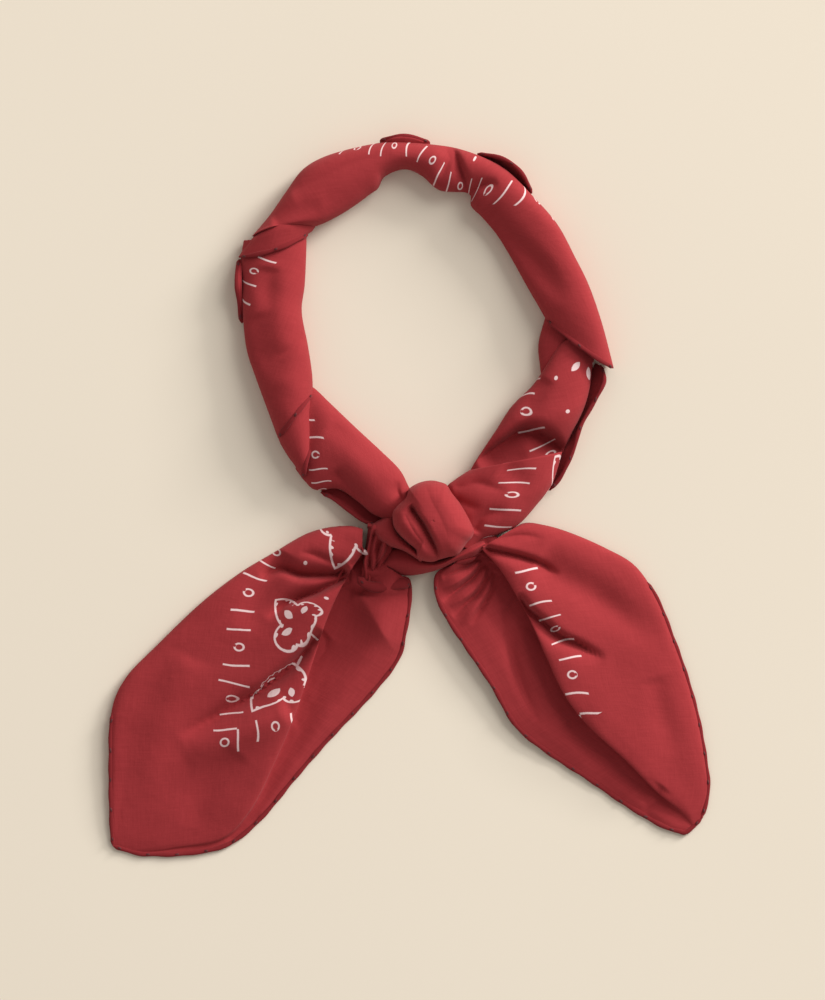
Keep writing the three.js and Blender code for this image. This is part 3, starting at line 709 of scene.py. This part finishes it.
# %% [markdown]
# The rolled band
#
# Round the loop the cloth is a roll: rounded on top and flat where it lies. `lean` moves its crest from the
# middle towards the outside of the loop. Where one stretch comes out from under another, it starts a little
# way inside, and a rolled hem finishes the mouth that it comes out of.

# %% Rolls

BELLY = 0.36  # share of the height at which a roll is widest
PLEATS = {
    # roll: how many pleats, how deep, and how far they turn along it
    "left_tail_neck": (6, 0.2, 3.0),
    "knot_lower_strand": (4, 0.07, 1.0),
    "knot_left_strand": (3, 0.06, 1.5),
}


def roll_grid(rows, along, around, pleats=(0, 0, 0)):
    """Points of a roll's skin, and how squarely each faces up."""
    sections = rows_between(np.array(rows, float), along)
    outer, inner = sections[:, 0:2], sections[:, 2:4]
    height, lean, bow = (sections[:, k : k + 1] for k in (4, 5, 6))
    angle = np.linspace(0, 2 * math.pi, around, endpoint=False)[None]
    rise = np.sin(angle)
    top = np.maximum(rise, 0) + 0 * height
    count, depth, twist = pleats
    swell = 1 + depth * top * np.cos(count * angle + twist * np.linspace(0, 1, along)[:, None])
    share = (np.cos(angle) + lean * top**2) * swell
    middle, half = (outer + inner) / 2, (outer - inner) / 2
    flat = middle[:, None] + half[:, None] * share[..., None]
    ahead = np.stack([-half[:, 1], half[:, 0]], axis=1)
    run = middle[-1] - middle[0]
    ahead *= np.sign(ahead @ run)[:, None] / np.linalg.norm(ahead, axis=1, keepdims=True)
    flat += ahead[:, None] * (bow * (1 - np.cos(angle) ** 2))[..., None]
    z = np.maximum(height * (BELLY + (1 - BELLY) * rise * swell), 0)
    return np.concatenate([flat, z[..., None]], axis=2), top


def tucked(rows, start=0.0, end=0.0):
    """The rows with one more at each hidden end, so many millimetres on and a little smaller."""
    rows = [[*map(float, row), *[0.0] * (7 - len(row))] for row in rows]
    for at, beside, distance in ((0, 1, start), (-1, -2, end)):
        if not distance:
            continue
        here, there = np.array(rows[at]), np.array(rows[beside])
        step = (here[0:2] + here[2:4] - there[0:2] - there[2:4]) / 2
        step *= distance / np.linalg.norm(step)
        middle = (here[0:2] + here[2:4]) / 2 + step
        half = (here[0:2] - here[2:4]) * 0.46
        extra = [*(middle + half), *(middle - half), here[4] * 0.9, here[5], here[6]]
        rows.insert(0 if at == 0 else len(rows), extra)
    return rows


ROLLS = [
    # piece, CAD nodes, millimetres hidden at its start and its end, sections
    (
        "upper_roll",
        ["upper_left_roll", "top_roll", "right_roll"],
        (0, 0),
        [
            (-60.1, 99.5, -35.6, 103.2, 14, 0.1, -2.2),
            (-53.7, 107, -31, 105.1, 14.5, 0.1),
            (-47.2, 116.3, -25.2, 108.2, 14.5, 0.1),
            (-41, 124.7, -19.4, 112, 14.5, 0.1),
            (-33.3, 129.6, -14.8, 115.5, 14, 0.1),
            (-22.5, 133, -11.7, 117.8, 13.5, 0.1),
            (-10.2, 135.5, -9, 122.4, 13, 0),
            (-3.3, 135.9, -1.7, 125.1, 13, 0),
            (8.3, 134.8, 4.8, 122.8, 13, 0.1),
            (18.7, 133.2, 12.1, 117, 13.5, 0.2),
            (29.5, 129.4, 22.9, 115.9, 14, 0.25),
            (38.3, 124.4, 24.1, 110.9, 14.5, 0.3),
            (47.9, 114.7, 28.3, 106.6, 14.5, 0.35),
            (57.2, 104, 34.1, 99.7, 14.5, 0.38),
            (64.1, 91.2, 39.5, 90.9, 14.5, 0.4),
            (69.5, 80.1, 44.9, 81.2, 14.5, 0.4),
            (74.5, 65.5, 49.5, 73.2, 14.5, 0.35),
            (78.9, 48.7, 52.6, 67.8, 13, 0.2, -1),
        ],
    ),
    (
        "upper_left_turn",
        ["upper_left_turn"],
        (6, 0),
        [
            (-60.1, 98.6, -36.4, 102.2, 13, 0, -2.2),
            (-63, 95, -37.2, 101.2, 12.5, 0, 0),
            (-65.4, 91.4, -38.3, 100.6, 12, 0, 2),
        ],
    ),
    (
        "left_roll",
        ["left_roll"],
        (7, 0),
        [
            (-64.4, 90.5, -39.2, 99.2, 11, 0, 2),
            (-64, 80.9, -39.8, 81.6, 12.5, 0),
            (-63.6, 68.1, -41, 70.5, 13.5, -0.1),
            (-62.2, 55.8, -38.7, 57.8, 14, -0.15),
            (-58.7, 45, -37.2, 48.1, 14, -0.1),
            (-54.9, 34.6, -36.8, 42.7, 14, 0),
            (-50.2, 21.9, -36.8, 38.9, 13.5, 0),
        ],
    ),
    (
        "left_turn",
        ["left_turn"],
        (6, 0),
        [
            (-49.8, 21, -37.2, 37.6, 12.5, 0),
            (-46.4, 15, -37.2, 31.2, 12.5, 0),
            (-43.7, 11.2, -37, 25, 12, 0),
            (-40.8, 6.4, -37, 20.4, 11, 0),
        ],
    ),
    (
        "lower_left_roll",
        ["lower_left_roll"],
        (5, 5),
        [
            (-39.8, 5.2, -36.1, 41, 10, 0),
            (-35.6, 1.9, -30.2, 35.4, 12, -0.1),
            (-27.1, 2.3, -20.6, 26.2, 13, -0.1),
            (-19.8, -2.3, -11, 17.3, 14, 0),
            (-14.4, -6.9, -3.3, 9.6, 14, 0),
            (-9.8, -9.2, 0.6, 2.3, 13, 0),
            (-4.8, -11.9, 5.2, -4.2, 11, 0),
        ],
    ),
    (
        "right_inner_fold",
        ["right_inner_fold"],
        (6, 4),
        [
            (65.6, 57.6, 52.2, 67, 8, 0),
            (65.1, 56.4, 49.9, 57.8, 8, 0),
            (64.3, 54.8, 50.6, 49.2, 7.5, 0, -2),
        ],
    ),
    (
        "right_turn",
        ["right_turn"],
        (6, 8),
        [
            (71.9, 54.2, 51.4, 47.4, 10.5, 0, -4.4),
            (70.6, 48.1, 47.2, 41.6, 12, 0, -2),
            (69.5, 40.4, 39.5, 33.9, 13, 0.1),
            (67.2, 32.7, 33.7, 25, 13.5, 0.15),
            (62.9, 23.9, 28.3, 16.9, 11, 0.1),
            (59.3, 17.1, 24.1, 10.1, 8, 0),
        ],
    ),
    (
        "lower_right_roll",
        ["lower_right_roll"],
        (0, 6),
        [
            (59.1, 16.5, 23.3, 9.5, 14, 0.2),
            (55.2, 4.2, 18.3, 6.2, 14.5, 0.15),
            (49.5, -3.5, 14.8, 3.1, 14.5, 0.1),
            (42.5, -11.2, 15.6, -1.9, 14, 0),
            (35.2, -15, 16.7, -7.3, 13, 0),
            (28.7, -17.3, 18.3, -11.9, 12, 0),
        ],
    ),
    (
        "knot_left_strand",
        ["knot_left_strand"],
        (2, 5),
        [
            (-13.9, -13.5, -13.7, -10.8, 9, 0.2),
            (-11.4, -16.9, -10.6, -9.2, 13, 0.4),
            (-7.5, -19.6, -6.7, -7.7, 16, 0.45),
            (-2.5, -21.2, -4.4, -12.7, 17, 0.45),
            (1, -23.2, 0.6, -17.6, 16, 0.3),
        ],
    ),
    (
        "knot_lower_strand",
        ["knot_lower_strand"],
        (2, 2),
        [
            (-9.4, -28.5, -10.2, -25.8, 6, 0),
            (-5.2, -30.4, -6.6, -21, 9, 0),
            (0.2, -31, -1.3, -20.6, 10, 0),
            (6, -30.2, 4.4, -23.5, 11, 0),
            (12.1, -28.5, 10.6, -25, 11, 0),
            (19.1, -25.4, 16.7, -22.7, 11, 0),
            (25.2, -23.5, 22.1, -18.9, 11, 0),
            (28.7, -20.8, 26, -17.7, 10, 0),
        ],
    ),
    (
        "left_tail_neck",
        ["left_tail_neck"],
        (3, 2),
        [
            (-15.6, -13.5, -6.4, -17.3, 11, 0),
            (-16.7, -20.4, -6.6, -22, 11, 0),
            (-17.5, -25.8, -11, -28.1, 9.5, 0),
            (-17.1, -30, -12.5, -32.3, 7, 0),
        ],
    ),
]

roll_grids = {}
for name, nodes, (start, end), sections in ROLLS:
    rows = tucked(sections, start, end)
    middles = np.array(rows)[:, :4].reshape(-1, 2, 2).mean(1)
    run = np.linalg.norm(np.diff(middles, axis=0), axis=1).sum()
    grid, top = roll_grid(rows, max(int(run / 0.8), 24), 88, PLEATS.get(name, (0, 0, 0)))
    crease(name, grid, top)
    ripple(grid, top, 0.6, 20)
    grid[..., 2] = np.maximum(grid[..., 2], 0)
    roll_grids[name] = grid
    cloth(name, grid, roll_place(name, grid, top), nodes, closed=True)

# %% [markdown]
# Rolled hems that cross the band
#
# A mouth's hem follows the top half of the roll's last section. Lines that run down a roll's skin are picked
# from its grid.

# %% Hems of the mouths

TOP_HALF = range(4, 42)


def mouth_hem(name, roll, end):
    grid = roll_grids[roll]
    section = grid[-1 if end else 0]
    return hem(name, section[list(TOP_HALF)] + [0, 0, 0.1])


mouth_hem("right_roll_hem", "upper_roll", True)
mouth_hem("upper_left_turn_hem", "upper_left_turn", True)
mouth_hem("left_roll_hem", "left_roll", True)
mouth_hem("left_turn_hem", "left_turn", True)

# %% [markdown]
# Edges that look out from under the band
#
# These are single layers that stand beside a roll and lean away from it, each with its hem at the rim.

# %% Edge layers

EDGES = [
    # node, sections of footX footY rimX rimY rise
    (
        "left_edge_layer",
        [
            (-64.9, 90.7, -65.6, 90.7, 7),
            (-64.9, 85.5, -66.2, 85.5, 8),
            (-64.8, 80.5, -66, 80.5, 8),
            (-64.6, 75.1, -65.5, 75.1, 7),
            (-64.2, 66.1, -64.7, 65.9, 6),
        ],
    ),
    (
        "top_edge_layer",
        [
            (-11, 135.8, -11.4, 136.6, 8),
            (-7.1, 136, -7.1, 137.4, 9),
            (-2.5, 136.2, -2.5, 137.9, 9),
            (2.9, 135.8, 3.3, 137.4, 9),
            (8.3, 135.1, 8.8, 136, 8),
        ],
    ),
    (
        "top_right_edge_layer",
        [
            (26.4, 130.9, 27.1, 131.9, 8),
            (31.6, 128.7, 33, 130.5, 9.5),
            (37.1, 125.4, 39, 127.6, 10.5),
            (42.3, 120.9, 44.7, 122.8, 10),
            (47.1, 115.8, 48.7, 116.9, 8),
        ],
    ),
    (
        "right_edge_layer",
        [
            (73.3, 50, 78.2, 46.9, 7),
            (71.5, 46.4, 77.8, 44.6, 8),
            (70.2, 40.4, 74.9, 41.2, 8),
            (68, 32.7, 69.6, 32.7, 7),
            (63.7, 24.1, 65.8, 25.4, 7),
            (59.9, 16.6, 63.5, 16.2, 7),
            (57, 7.3, 59.4, 6.4, 6),
            (54.3, 1.9, 55.6, 2.5, 5),
        ],
    ),
    (
        "lower_left_edge_layer",
        [
            (-33.6, 1.3, -33.9, -0.4, 4),
            (-27.9, 0.9, -29.1, -2.1, 4.5),
            (-20.6, -3.3, -23.3, -5.6, 5),
            (-15.4, -7.8, -17.9, -10.4, 5.5),
            (-11.4, -10.2, -13.5, -12.9, 6),
        ],
    ),
]

HUGGING = ("left_edge_layer", "top_edge_layer")  # these fold back onto the band
RIM_COLUMN = 12
EDGE_ROWS = 70
UNDER_BAND = 1.6  # how far the other edges' feet reach under the belly of the band

for name, sections in EDGES:
    sections = rows_between(np.array(sections, float), EDGE_ROWS)
    ends = np.sin(np.linspace(0, 1, EDGE_ROWS) * math.pi)[:, None] ** 0.7
    foot, rim, rise = sections[:, 0:2], sections[:, 2:4], sections[:, 4:5]
    out = rim - foot
    out /= np.linalg.norm(out, axis=1, keepdims=True)
    rim = foot + (rim - foot) * (0.08 + 0.92 * ends)
    rise = rise * (0.6 + 0.4 * ends)
    under = 0.0 if name in HUGGING else UNDER_BAND
    control = [
        np.concatenate([foot - under * out, 0 * rise + 0.4], axis=1),
        np.concatenate([foot * 0.6 + rim * 0.4, 0.5 * rise], axis=1),
        np.concatenate([rim, 0.92 * rise], axis=1),
    ]
    if name in HUGGING:
        control += [
            np.concatenate([rim - 0.6 * out, rise], axis=1),
            np.concatenate([foot - 0.9 * out, 0.9 * rise], axis=1),
        ]
    grid = curves_through(np.stack(control, axis=1), 6)
    along, across = np.arange(EDGE_ROWS) * 0.6, np.arange(grid.shape[1]) * 0.5
    flat = np.stack(np.meshgrid(along, across, indexing="ij"), axis=2)
    cloth(name, grid, flat + 4, [name], material=PLAIN_COTTON)
    hem(name + "_hem", grid[:, RIM_COLUMN] + [0, 0, 0.1], 1.5, 1.1)

# %% [markdown]
# The tails
#
# Each tail is one open sheet. A section goes from the turned-under front edge over the front panel, under
# its fold and out along the back panel to the hem. `fold` is the share of the width where the front panel
# ends and `depth` how far it overlaps what is behind it.

# %% Tails

TAIL = "frontX frontY backX backY frontZ midZ crestZ fold edgeZ depth backZ hemZ turn"
TAILS = {
    "left_tail": [
        (-17.6, -13, -17.8, -31.6, 7, 10, 11, 0.5, 8, 1.5, 5, 4, 3),
        (-22.9, -11.9, -9, -33.9, 5, 10.5, 11, 0.5, 7, 2, 6, 5, 4),
        (-31.8, -12.7, -0.6, -32.3, 3.5, 10, 11, 0.475, 8, 2, 8, 5, 4),
        (-40.2, -15.4, 0.4, -40.4, 3, 10.5, 12.2, 0.471, 10.4, 4, 9, 3.5, 4),
        (-51.4, -21.9, -1.3, -52, 3, 10, 12.4, 0.497, 11, 5, 8.5, 2, 4),
        (-64.9, -30, -4.4, -63.5, 3.5, 9, 12.2, 0.55, 10.8, 4.5, 6, 0.8, 4),
        (-79.9, -41.6, -15.2, -77.4, 4, 7.8, 10.8, 0.66, 9.6, 3, 3.6, 0.6, 4),
        (-96.8, -57.8, -29.8, -92.8, 4, 6.6, 9, 0.785, 7.6, 0.6, 2.6, 0.6, 3),
        (-108.8, -70.5, -43.7, -108.6, 4.2, 5.2, 7, 0.87, 6, 0, 1.6, 0.6, 2),
        (-114.2, -83.5, -57.2, -124.7, 4, 4.2, 4.6, 0.925, 3.8, -0.6, 1, 0.6, 0.5),
        (-114.9, -104, -70.3, -134.8, 3.6, 3.2, 2.8, 0.93, 2.2, -1, 0.8, 0.6, 0.5),
        (-114.5, -123.2, -88, -138.2, 2.6, 2.2, 1.8, 0.85, 1.2, -1, 0.7, 0.6, 0.5),
        (-113.8, -135.1, -106, -138, 0.6, 0.8, 0.8, 0.85, 0.7, -0.5, 0.6, 0.6, 0.3),
    ],
    "right_tail": [
        (31, -12.8, 20.5, -23, 4, 7, 7, 0.5, 6, 1, 5, 4, 2),
        (35.5, -16.4, 24.1, -25.3, 5, 9, 9, 0.52, 7, 1, 6, 5, 2),
        (43.7, -11, 12.5, -29.3, 2, 10, 11, 0.51, 8, 2, 8, 4.5, 3),
        (52.6, -11.7, 10.6, -34.6, 1.8, 10, 11, 0.52, 8.4, 3, 7, 4.5, 4),
        (62.9, -14.8, 11.6, -40.4, 1.8, 9, 11, 0.54, 9, 4, 5, 4.5, 4),
        (75.7, -20.4, 16, -48.9, 1.8, 8.5, 11, 0.588, 9.6, 4, 4.6, 4.2, 4),
        (87.2, -27.3, 23.7, -60.4, 1.6, 8, 11, 0.636, 9.6, 5, 4.2, 4, 3),
        (95.7, -39.7, 32.5, -73.5, 1.4, 7.5, 10.5, 0.675, 9.2, 5, 3.8, 3.6, 1),
        (101.8, -54.7, 41, -88.2, 1, 7, 9.5, 0.682, 8.6, 4.5, 3.2, 2.6, 0.5),
        (107.2, -70.1, 52.6, -98.2, 0.8, 6.5, 8.5, 0.685, 7.6, 4, 2.8, 1.6, 0.5),
        (111.5, -85.9, 69.5, -109.3, 0.7, 5.5, 7, 0.675, 6.4, 3, 2.4, 1, 0.5),
        (114.5, -103.2, 85.3, -120.1, 0.7, 4, 5, 0.65, 4.6, 1.5, 1.8, 0.6, 0.5),
        (115.3, -113.6, 98.8, -127.8, 0.7, 2.4, 2.6, 0.6, 2, -1, 1, 0.6, 0.5),
        (113, -124.4, 108, -130.1, 0.6, 0.8, 0.8, 0.6, 0.7, -0.5, 0.6, 0.6, 0.3),
    ],
}
FLOOR = 0.6  # height of a layer that lies on the table
PER_SPAN = 15


def tail_sections(rows, count):
    """Smooth sections of a tail as heights over distances from its front edge, and its two edge lines."""
    columns = TAIL.split()
    sections = rows_between(np.array(rows, float), count)
    at = {name: sections[:, i] for i, name in enumerate(columns)}
    front = sections[:, 0:2]
    back = sections[:, 2:4]
    width = np.linalg.norm(back - front, axis=1)
    fold = at["fold"] * width
    tuck = fold - at["depth"]
    rest = width - tuck
    outline = [
        (at["turn"], np.minimum(at["frontZ"], FLOOR)),
        (at["turn"] * 0.3, np.minimum(at["frontZ"], FLOOR) + 0.02),
        (0 * width, 0.4 * FLOOR + 0.6 * at["frontZ"]),
        (0.03 * fold, at["frontZ"] + 0.35 * (at["midZ"] - at["frontZ"])),
        (0.16 * fold, at["frontZ"] + 0.7 * (at["midZ"] - at["frontZ"])),
        (0.5 * fold, at["midZ"]),
        (0.87 * fold, at["crestZ"]),
        (fold, at["edgeZ"]),
        (fold - 0.5 * at["depth"], 0.5 * at["edgeZ"] + 0.3),
        (tuck + 0.06 * rest, FLOOR + 0.12 * at["edgeZ"]),
        (tuck + 0.28 * rest, FLOOR + 0.22 * at["backZ"]),
        (tuck + 0.68 * rest, at["backZ"]),
        (tuck + 0.88 * rest, 0.45 * at["backZ"] + 0.55 * at["hemZ"]),
        (width, at["hemZ"]),
    ]
    control = np.stack([np.stack(pair, axis=1) for pair in outline], axis=1)
    return curves_through(control, PER_SPAN), front, back, width


def tail(name, count):
    """One tail, its print and the two lines of its edges."""
    curve, front, back, width = tail_sections(TAILS[name], count)
    share = curve[..., 0] / width[:, None]
    flat = front[:, None] + (back - front)[:, None] * share[..., None]
    grid = np.concatenate([flat, curve[..., 1:]], axis=2)
    columns = np.arange(grid.shape[1]) / PER_SPAN
    hidden = np.exp(-(((columns - 8.5) / 0.9) ** 2)) + (columns < 1.6)
    weight = np.clip(1 - hidden, 0, 1)[None] * np.ones((count, 1))
    crease(name, grid, weight)
    ripple(grid, weight, 0.5, 26)
    grid[..., 2] = np.maximum(grid[..., 2], FLOOR)
    marks = np.array(MARKS[name], float)
    marks[:, 2:] -= tucked_in(name, marks[:, :2])
    points = flat.reshape(-1, 2)
    front_place = (cloth_place(points, marks) + tucked_in(name, points)).reshape(flat.shape)
    beside = np.linalg.norm(flat - back[:, None], axis=2)
    back_place = np.stack([front_place[..., 0] * 0 + 60 + np.arange(count)[:, None], beside * 0.85], axis=2)
    on_back = np.clip(columns - 8, 0, 1)[None, :, None]
    place = front_place * (1 - on_back) + back_place * on_back
    printed = (*PRINTED_ROWS[name], LAST_PRINTED_COLUMN)
    cloth(name, grid, place, [name], printed=printed)
    return grid


COUNTS = {"left_tail": 230, "right_tail": 220}
PRINTED_ROWS = {"left_tail": (0, 230), "right_tail": (70, 147)}  # the folds hide the rest of the print
LAST_PRINTED_COLUMN = int(7.7 * PER_SPAN)  # just under the fold
tail_grids = {name: tail(name, count) for name, count in COUNTS.items()}
FRONT_EDGE = 2 * PER_SPAN + 6

TOP_ROLL = [(-19.5, -31.5, 7), (-16.5, -34.4, 7.6), (-9, -35.6, 7.6), (-2.5, -34, 7), (0.2, -34.6, 4)]
hem("left_tail_top_roll", TOP_ROLL, width=3.8, height=3.4)

# The left tail's hem starts where its front edge stops being a fold, turns the corner and runs back up.
HEM_LIFT = [0, 0, 0.2]


def tail_hems(name, first_share, rows_left_out):
    """The hem down a tail's front edge, and the one round its corner and back up to the knot."""
    grid = tail_grids[name]
    first_row = int(len(grid) * first_share)
    hem(name + "_hem_side", grid[first_row:, FRONT_EDGE] + HEM_LIFT)
    round_corner = np.concatenate([grid[-1:, FRONT_EDGE], grid[::-1, -1]])
    hem(name + "_hem_bottom", round_corner[: len(grid) - rows_left_out] + HEM_LIFT)


tail_hems("left_tail", 0.75, 14)
tail_hems("right_tail", 0.5, 20)

# %% [markdown]
# The knot
#
# The wrap is a rounded cushion of folded cloth: rings shrink towards its crown, and a deep pleat runs down
# its left side.

# %% Knot

WRAP = [
    (0.1, 2.4), (2.5, 4), (6.1, 5.3), (9.6, 5.5), (12.3, 4.9), (14.5, 4), (16.7, 0.7), (19.8, -3.3),
    (22.4, -7.7), (24.4, -11.7), (25.1, -13.9), (24.4, -16.1), (22.4, -18.3), (18.9, -22.8), (14.9, -23.9),
    (11.8, -24.8), (9.6, -25.6), (6.1, -25.4), (3.4, -24.1), (2.9, -21.2), (-0.1, -18.6), (-3.6, -15.3),
    (-5.6, -12.2), (-6.1, -9.5), (-5.9, -6.4), (-4.1, -4), (-1, -1.1),
]
WRAP_PROFILE = [
    # share of the outline, height
    (0.9, 2), (0.97, 7), (1.0, 12), (0.985, 16.5), (0.93, 20.5), (0.82, 23.6), (0.64, 25.6), (0.4, 26.5),
    (0.12, 26.8),
]


WRAP_REACH = 15.0  # from the middle of the wrap to its outline
WRAP_MIDDLE = np.array([9.5, -10.0])
WRAP_POINTS, WRAP_RINGS = 300, 130


def knot_wrap():
    outline = line_through([*WRAP, WRAP[0]], WRAP_POINTS + 1)[:-1]
    profile = line_through(np.array(WRAP_PROFILE) * [WRAP_REACH, 1], WRAP_RINGS) / [WRAP_REACH, 1]
    grid = WRAP_MIDDLE + (outline - WRAP_MIDDLE)[None] * profile[:, :1, None]
    grid = np.concatenate([grid, np.repeat(profile[:, 1:], len(outline), axis=1)[..., None]], axis=2)
    weight = np.clip((profile[:, 1:] - 8) / 12, 0, 1) * np.ones((1, len(outline)))
    crease("knot_wrap", grid, weight)
    ripple(grid, weight, 0.7, 14)
    crown = grid[-1].mean(0)
    grid = np.concatenate([grid, grid[-1:] * 0.5 + crown * 0.5, grid[-1:] * 0.03 + crown * 0.97])
    place = grid[..., :2] + PLAIN
    return cloth("knot_wrap", grid, place, ["knot_wrap"], closed=True)


knot_wrap()

# %% [markdown]
# Stitches
#
# A hand-rolled hem is held by small stitches a centimetre apart. One Geometry Nodes tree puts a short dark
# stitch at each step of the hem lines.

# %% Stitches


def stitch_tree():
    """Instances a small bead along lines: inputs are the lines, the spacing, the bead's size and the seed."""
    tree = bpy.data.node_groups.new("Hem stitches", "GeometryNodeTree")
    face = tree.interface
    face.new_socket("Geometry", in_out="INPUT", socket_type="NodeSocketGeometry")
    for label, value in (("Spacing", 0.0106), ("Size", 0.00055)):
        face.new_socket(label, in_out="INPUT", socket_type="NodeSocketFloat").default_value = value
    face.new_socket("Seed", in_out="INPUT", socket_type="NodeSocketInt").default_value = SEED
    face.new_socket("Geometry", in_out="OUTPUT", socket_type="NodeSocketGeometry")
    add = tree.nodes.new
    inputs, outputs = add("NodeGroupInput"), add("NodeGroupOutput")
    curve, points = add("GeometryNodeMeshToCurve"), add("GeometryNodeCurveToPoints")
    points.mode = "LENGTH"
    bead, place = add("GeometryNodeMeshIcoSphere"), add("GeometryNodeInstanceOnPoints")
    bead.inputs["Subdivisions"].default_value = 2
    vary, turn = add("FunctionNodeRandomValue"), add("GeometryNodeRotateInstances")
    vary.data_type = "FLOAT_VECTOR"
    vary.inputs["Min"].default_value = (0.65, 0.65, 1.2)
    vary.inputs["Max"].default_value = (0.85, 0.85, 1.9)
    spin = add("FunctionNodeRandomValue")
    spin.data_type = "FLOAT_VECTOR"
    spin.inputs["Min"].default_value = (-0.3, -0.3, 0)
    spin.inputs["Max"].default_value = (0.3, 0.3, 0)
    real, paint = add("GeometryNodeRealizeInstances"), add("GeometryNodeSetMaterial")
    paint.inputs["Material"].default_value = THREAD_DARK
    link = tree.links.new
    link(inputs.outputs["Geometry"], curve.inputs["Mesh"])
    link(curve.outputs["Curve"], points.inputs["Curve"])
    link(inputs.outputs["Spacing"], points.inputs["Length"])
    link(inputs.outputs["Size"], bead.inputs["Radius"])
    link(inputs.outputs["Seed"], vary.inputs["Seed"])
    link(inputs.outputs["Seed"], spin.inputs["Seed"])
    link(points.outputs["Points"], place.inputs["Points"])
    link(points.outputs["Rotation"], place.inputs["Rotation"])
    link(bead.outputs["Mesh"], place.inputs["Instance"])
    link(vary.outputs["Value"], place.inputs["Scale"])
    link(place.outputs["Instances"], turn.inputs["Instances"])
    link(spin.outputs["Value"], turn.inputs["Rotation"])
    link(turn.outputs["Instances"], real.inputs["Geometry"])
    link(real.outputs["Geometry"], paint.inputs["Geometry"])
    link(paint.outputs["Geometry"], outputs.inputs["Geometry"])
    return tree


def stitches():
    points, edges = [], []
    for line in hems:
        first = len(points)
        points += ((line - CENTRE) / 1000).tolist()
        edges += [(first + i, first + i + 1) for i in range(len(line) - 1)]
    mesh = bpy.data.meshes.new("hem lines")
    mesh.from_pydata(points, edges, [])
    lines = bpy.data.objects.new("hem lines", mesh)
    bpy.context.collection.objects.link(lines)
    sew = lines.modifiers.new("Stitches", "NODES")
    sew.node_group = stitch_tree()
    evaluated = lines.evaluated_get(bpy.context.evaluated_depsgraph_get())
    sewn = bpy.data.meshes.new_from_object(evaluated)
    bpy.data.objects.remove(lines)
    piece = bpy.data.objects.new("hem_stitches", sewn)
    bpy.context.collection.objects.link(piece)
    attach(piece, "root")
    return piece


stitches()

# %% [markdown]
# Floor, light and camera
#
# A warm pale surface, one large soft light from the upper right, and a long lens from straight above.

# %% Stage


def floor():
    material, tree, shader, start = new_material("pale paper", 0.9)
    place = start.node("ShaderNodeTexCoord", {}, output="Object")
    tone = noise(start, place, 3.0)
    colour = tone.mix((0.80, 0.715, 0.595, 1), (0.84, 0.755, 0.63, 1))
    tree.links.new(colour.socket, shader.inputs["Base Color"])
    mesh = bpy.data.meshes.new("floor")
    half, low = 3.0, -0.0002
    corners = [(-half, -half, low), (half, -half, low), (half, half, low), (-half, half, low)]
    mesh.from_pydata(corners, [], [(0, 1, 2, 3)])
    mesh.materials.append(material)
    piece = bpy.data.objects.new("floor", mesh)
    bpy.context.collection.objects.link(piece)


def area_light(name, azimuth, elevation, distance, size, power, colour=(1, 1, 1)):
    lamp = bpy.data.lights.new(name, "AREA")
    lamp.energy, lamp.size, lamp.color = power, size, colour
    light = bpy.data.objects.new(name, lamp)
    bpy.context.collection.objects.link(light)
    a, e = math.radians(azimuth), math.radians(elevation)
    light.location = (
        distance * math.cos(e) * math.cos(a),
        distance * math.cos(e) * math.sin(a),
        distance * math.sin(e),
    )
    light.rotation_euler = (-light.location).to_track_quat("-Z", "Y").to_euler()
    return light


CAMERA_HEIGHT = 2.6
PICTURE = (1.14, -2.68)  # middle of the picture, in millimetres
PIXEL = 0.385

floor()
area_light("low window", 40, 18, 6.0, 1.5, 280, (1.0, 0.985, 0.965))
area_light("window", 44, 36, 6.0, 3.6, 230, (1.0, 0.985, 0.965))
world = bpy.data.worlds.new("room")
world.use_nodes = True
world.node_tree.nodes["Background"].inputs["Color"].default_value = (1.0, 0.97, 0.93, 1)
world.node_tree.nodes["Background"].inputs["Strength"].default_value = 0.43
bpy.context.scene.world = world

camera = bpy.data.objects.new("camera", bpy.data.cameras.new("camera"))
bpy.context.collection.objects.link(camera)
camera.location = (PICTURE[0] / 1000, PICTURE[1] / 1000, CAMERA_HEIGHT)
camera.data.sensor_fit = "VERTICAL"
camera.data.sensor_height = 24
camera.data.lens = 24 * CAMERA_HEIGHT / (1000 * PIXEL / 1000)
camera.data.clip_end = 20
bpy.context.scene.camera = camera
bpy.context.scene.view_settings.view_transform = "Standard"
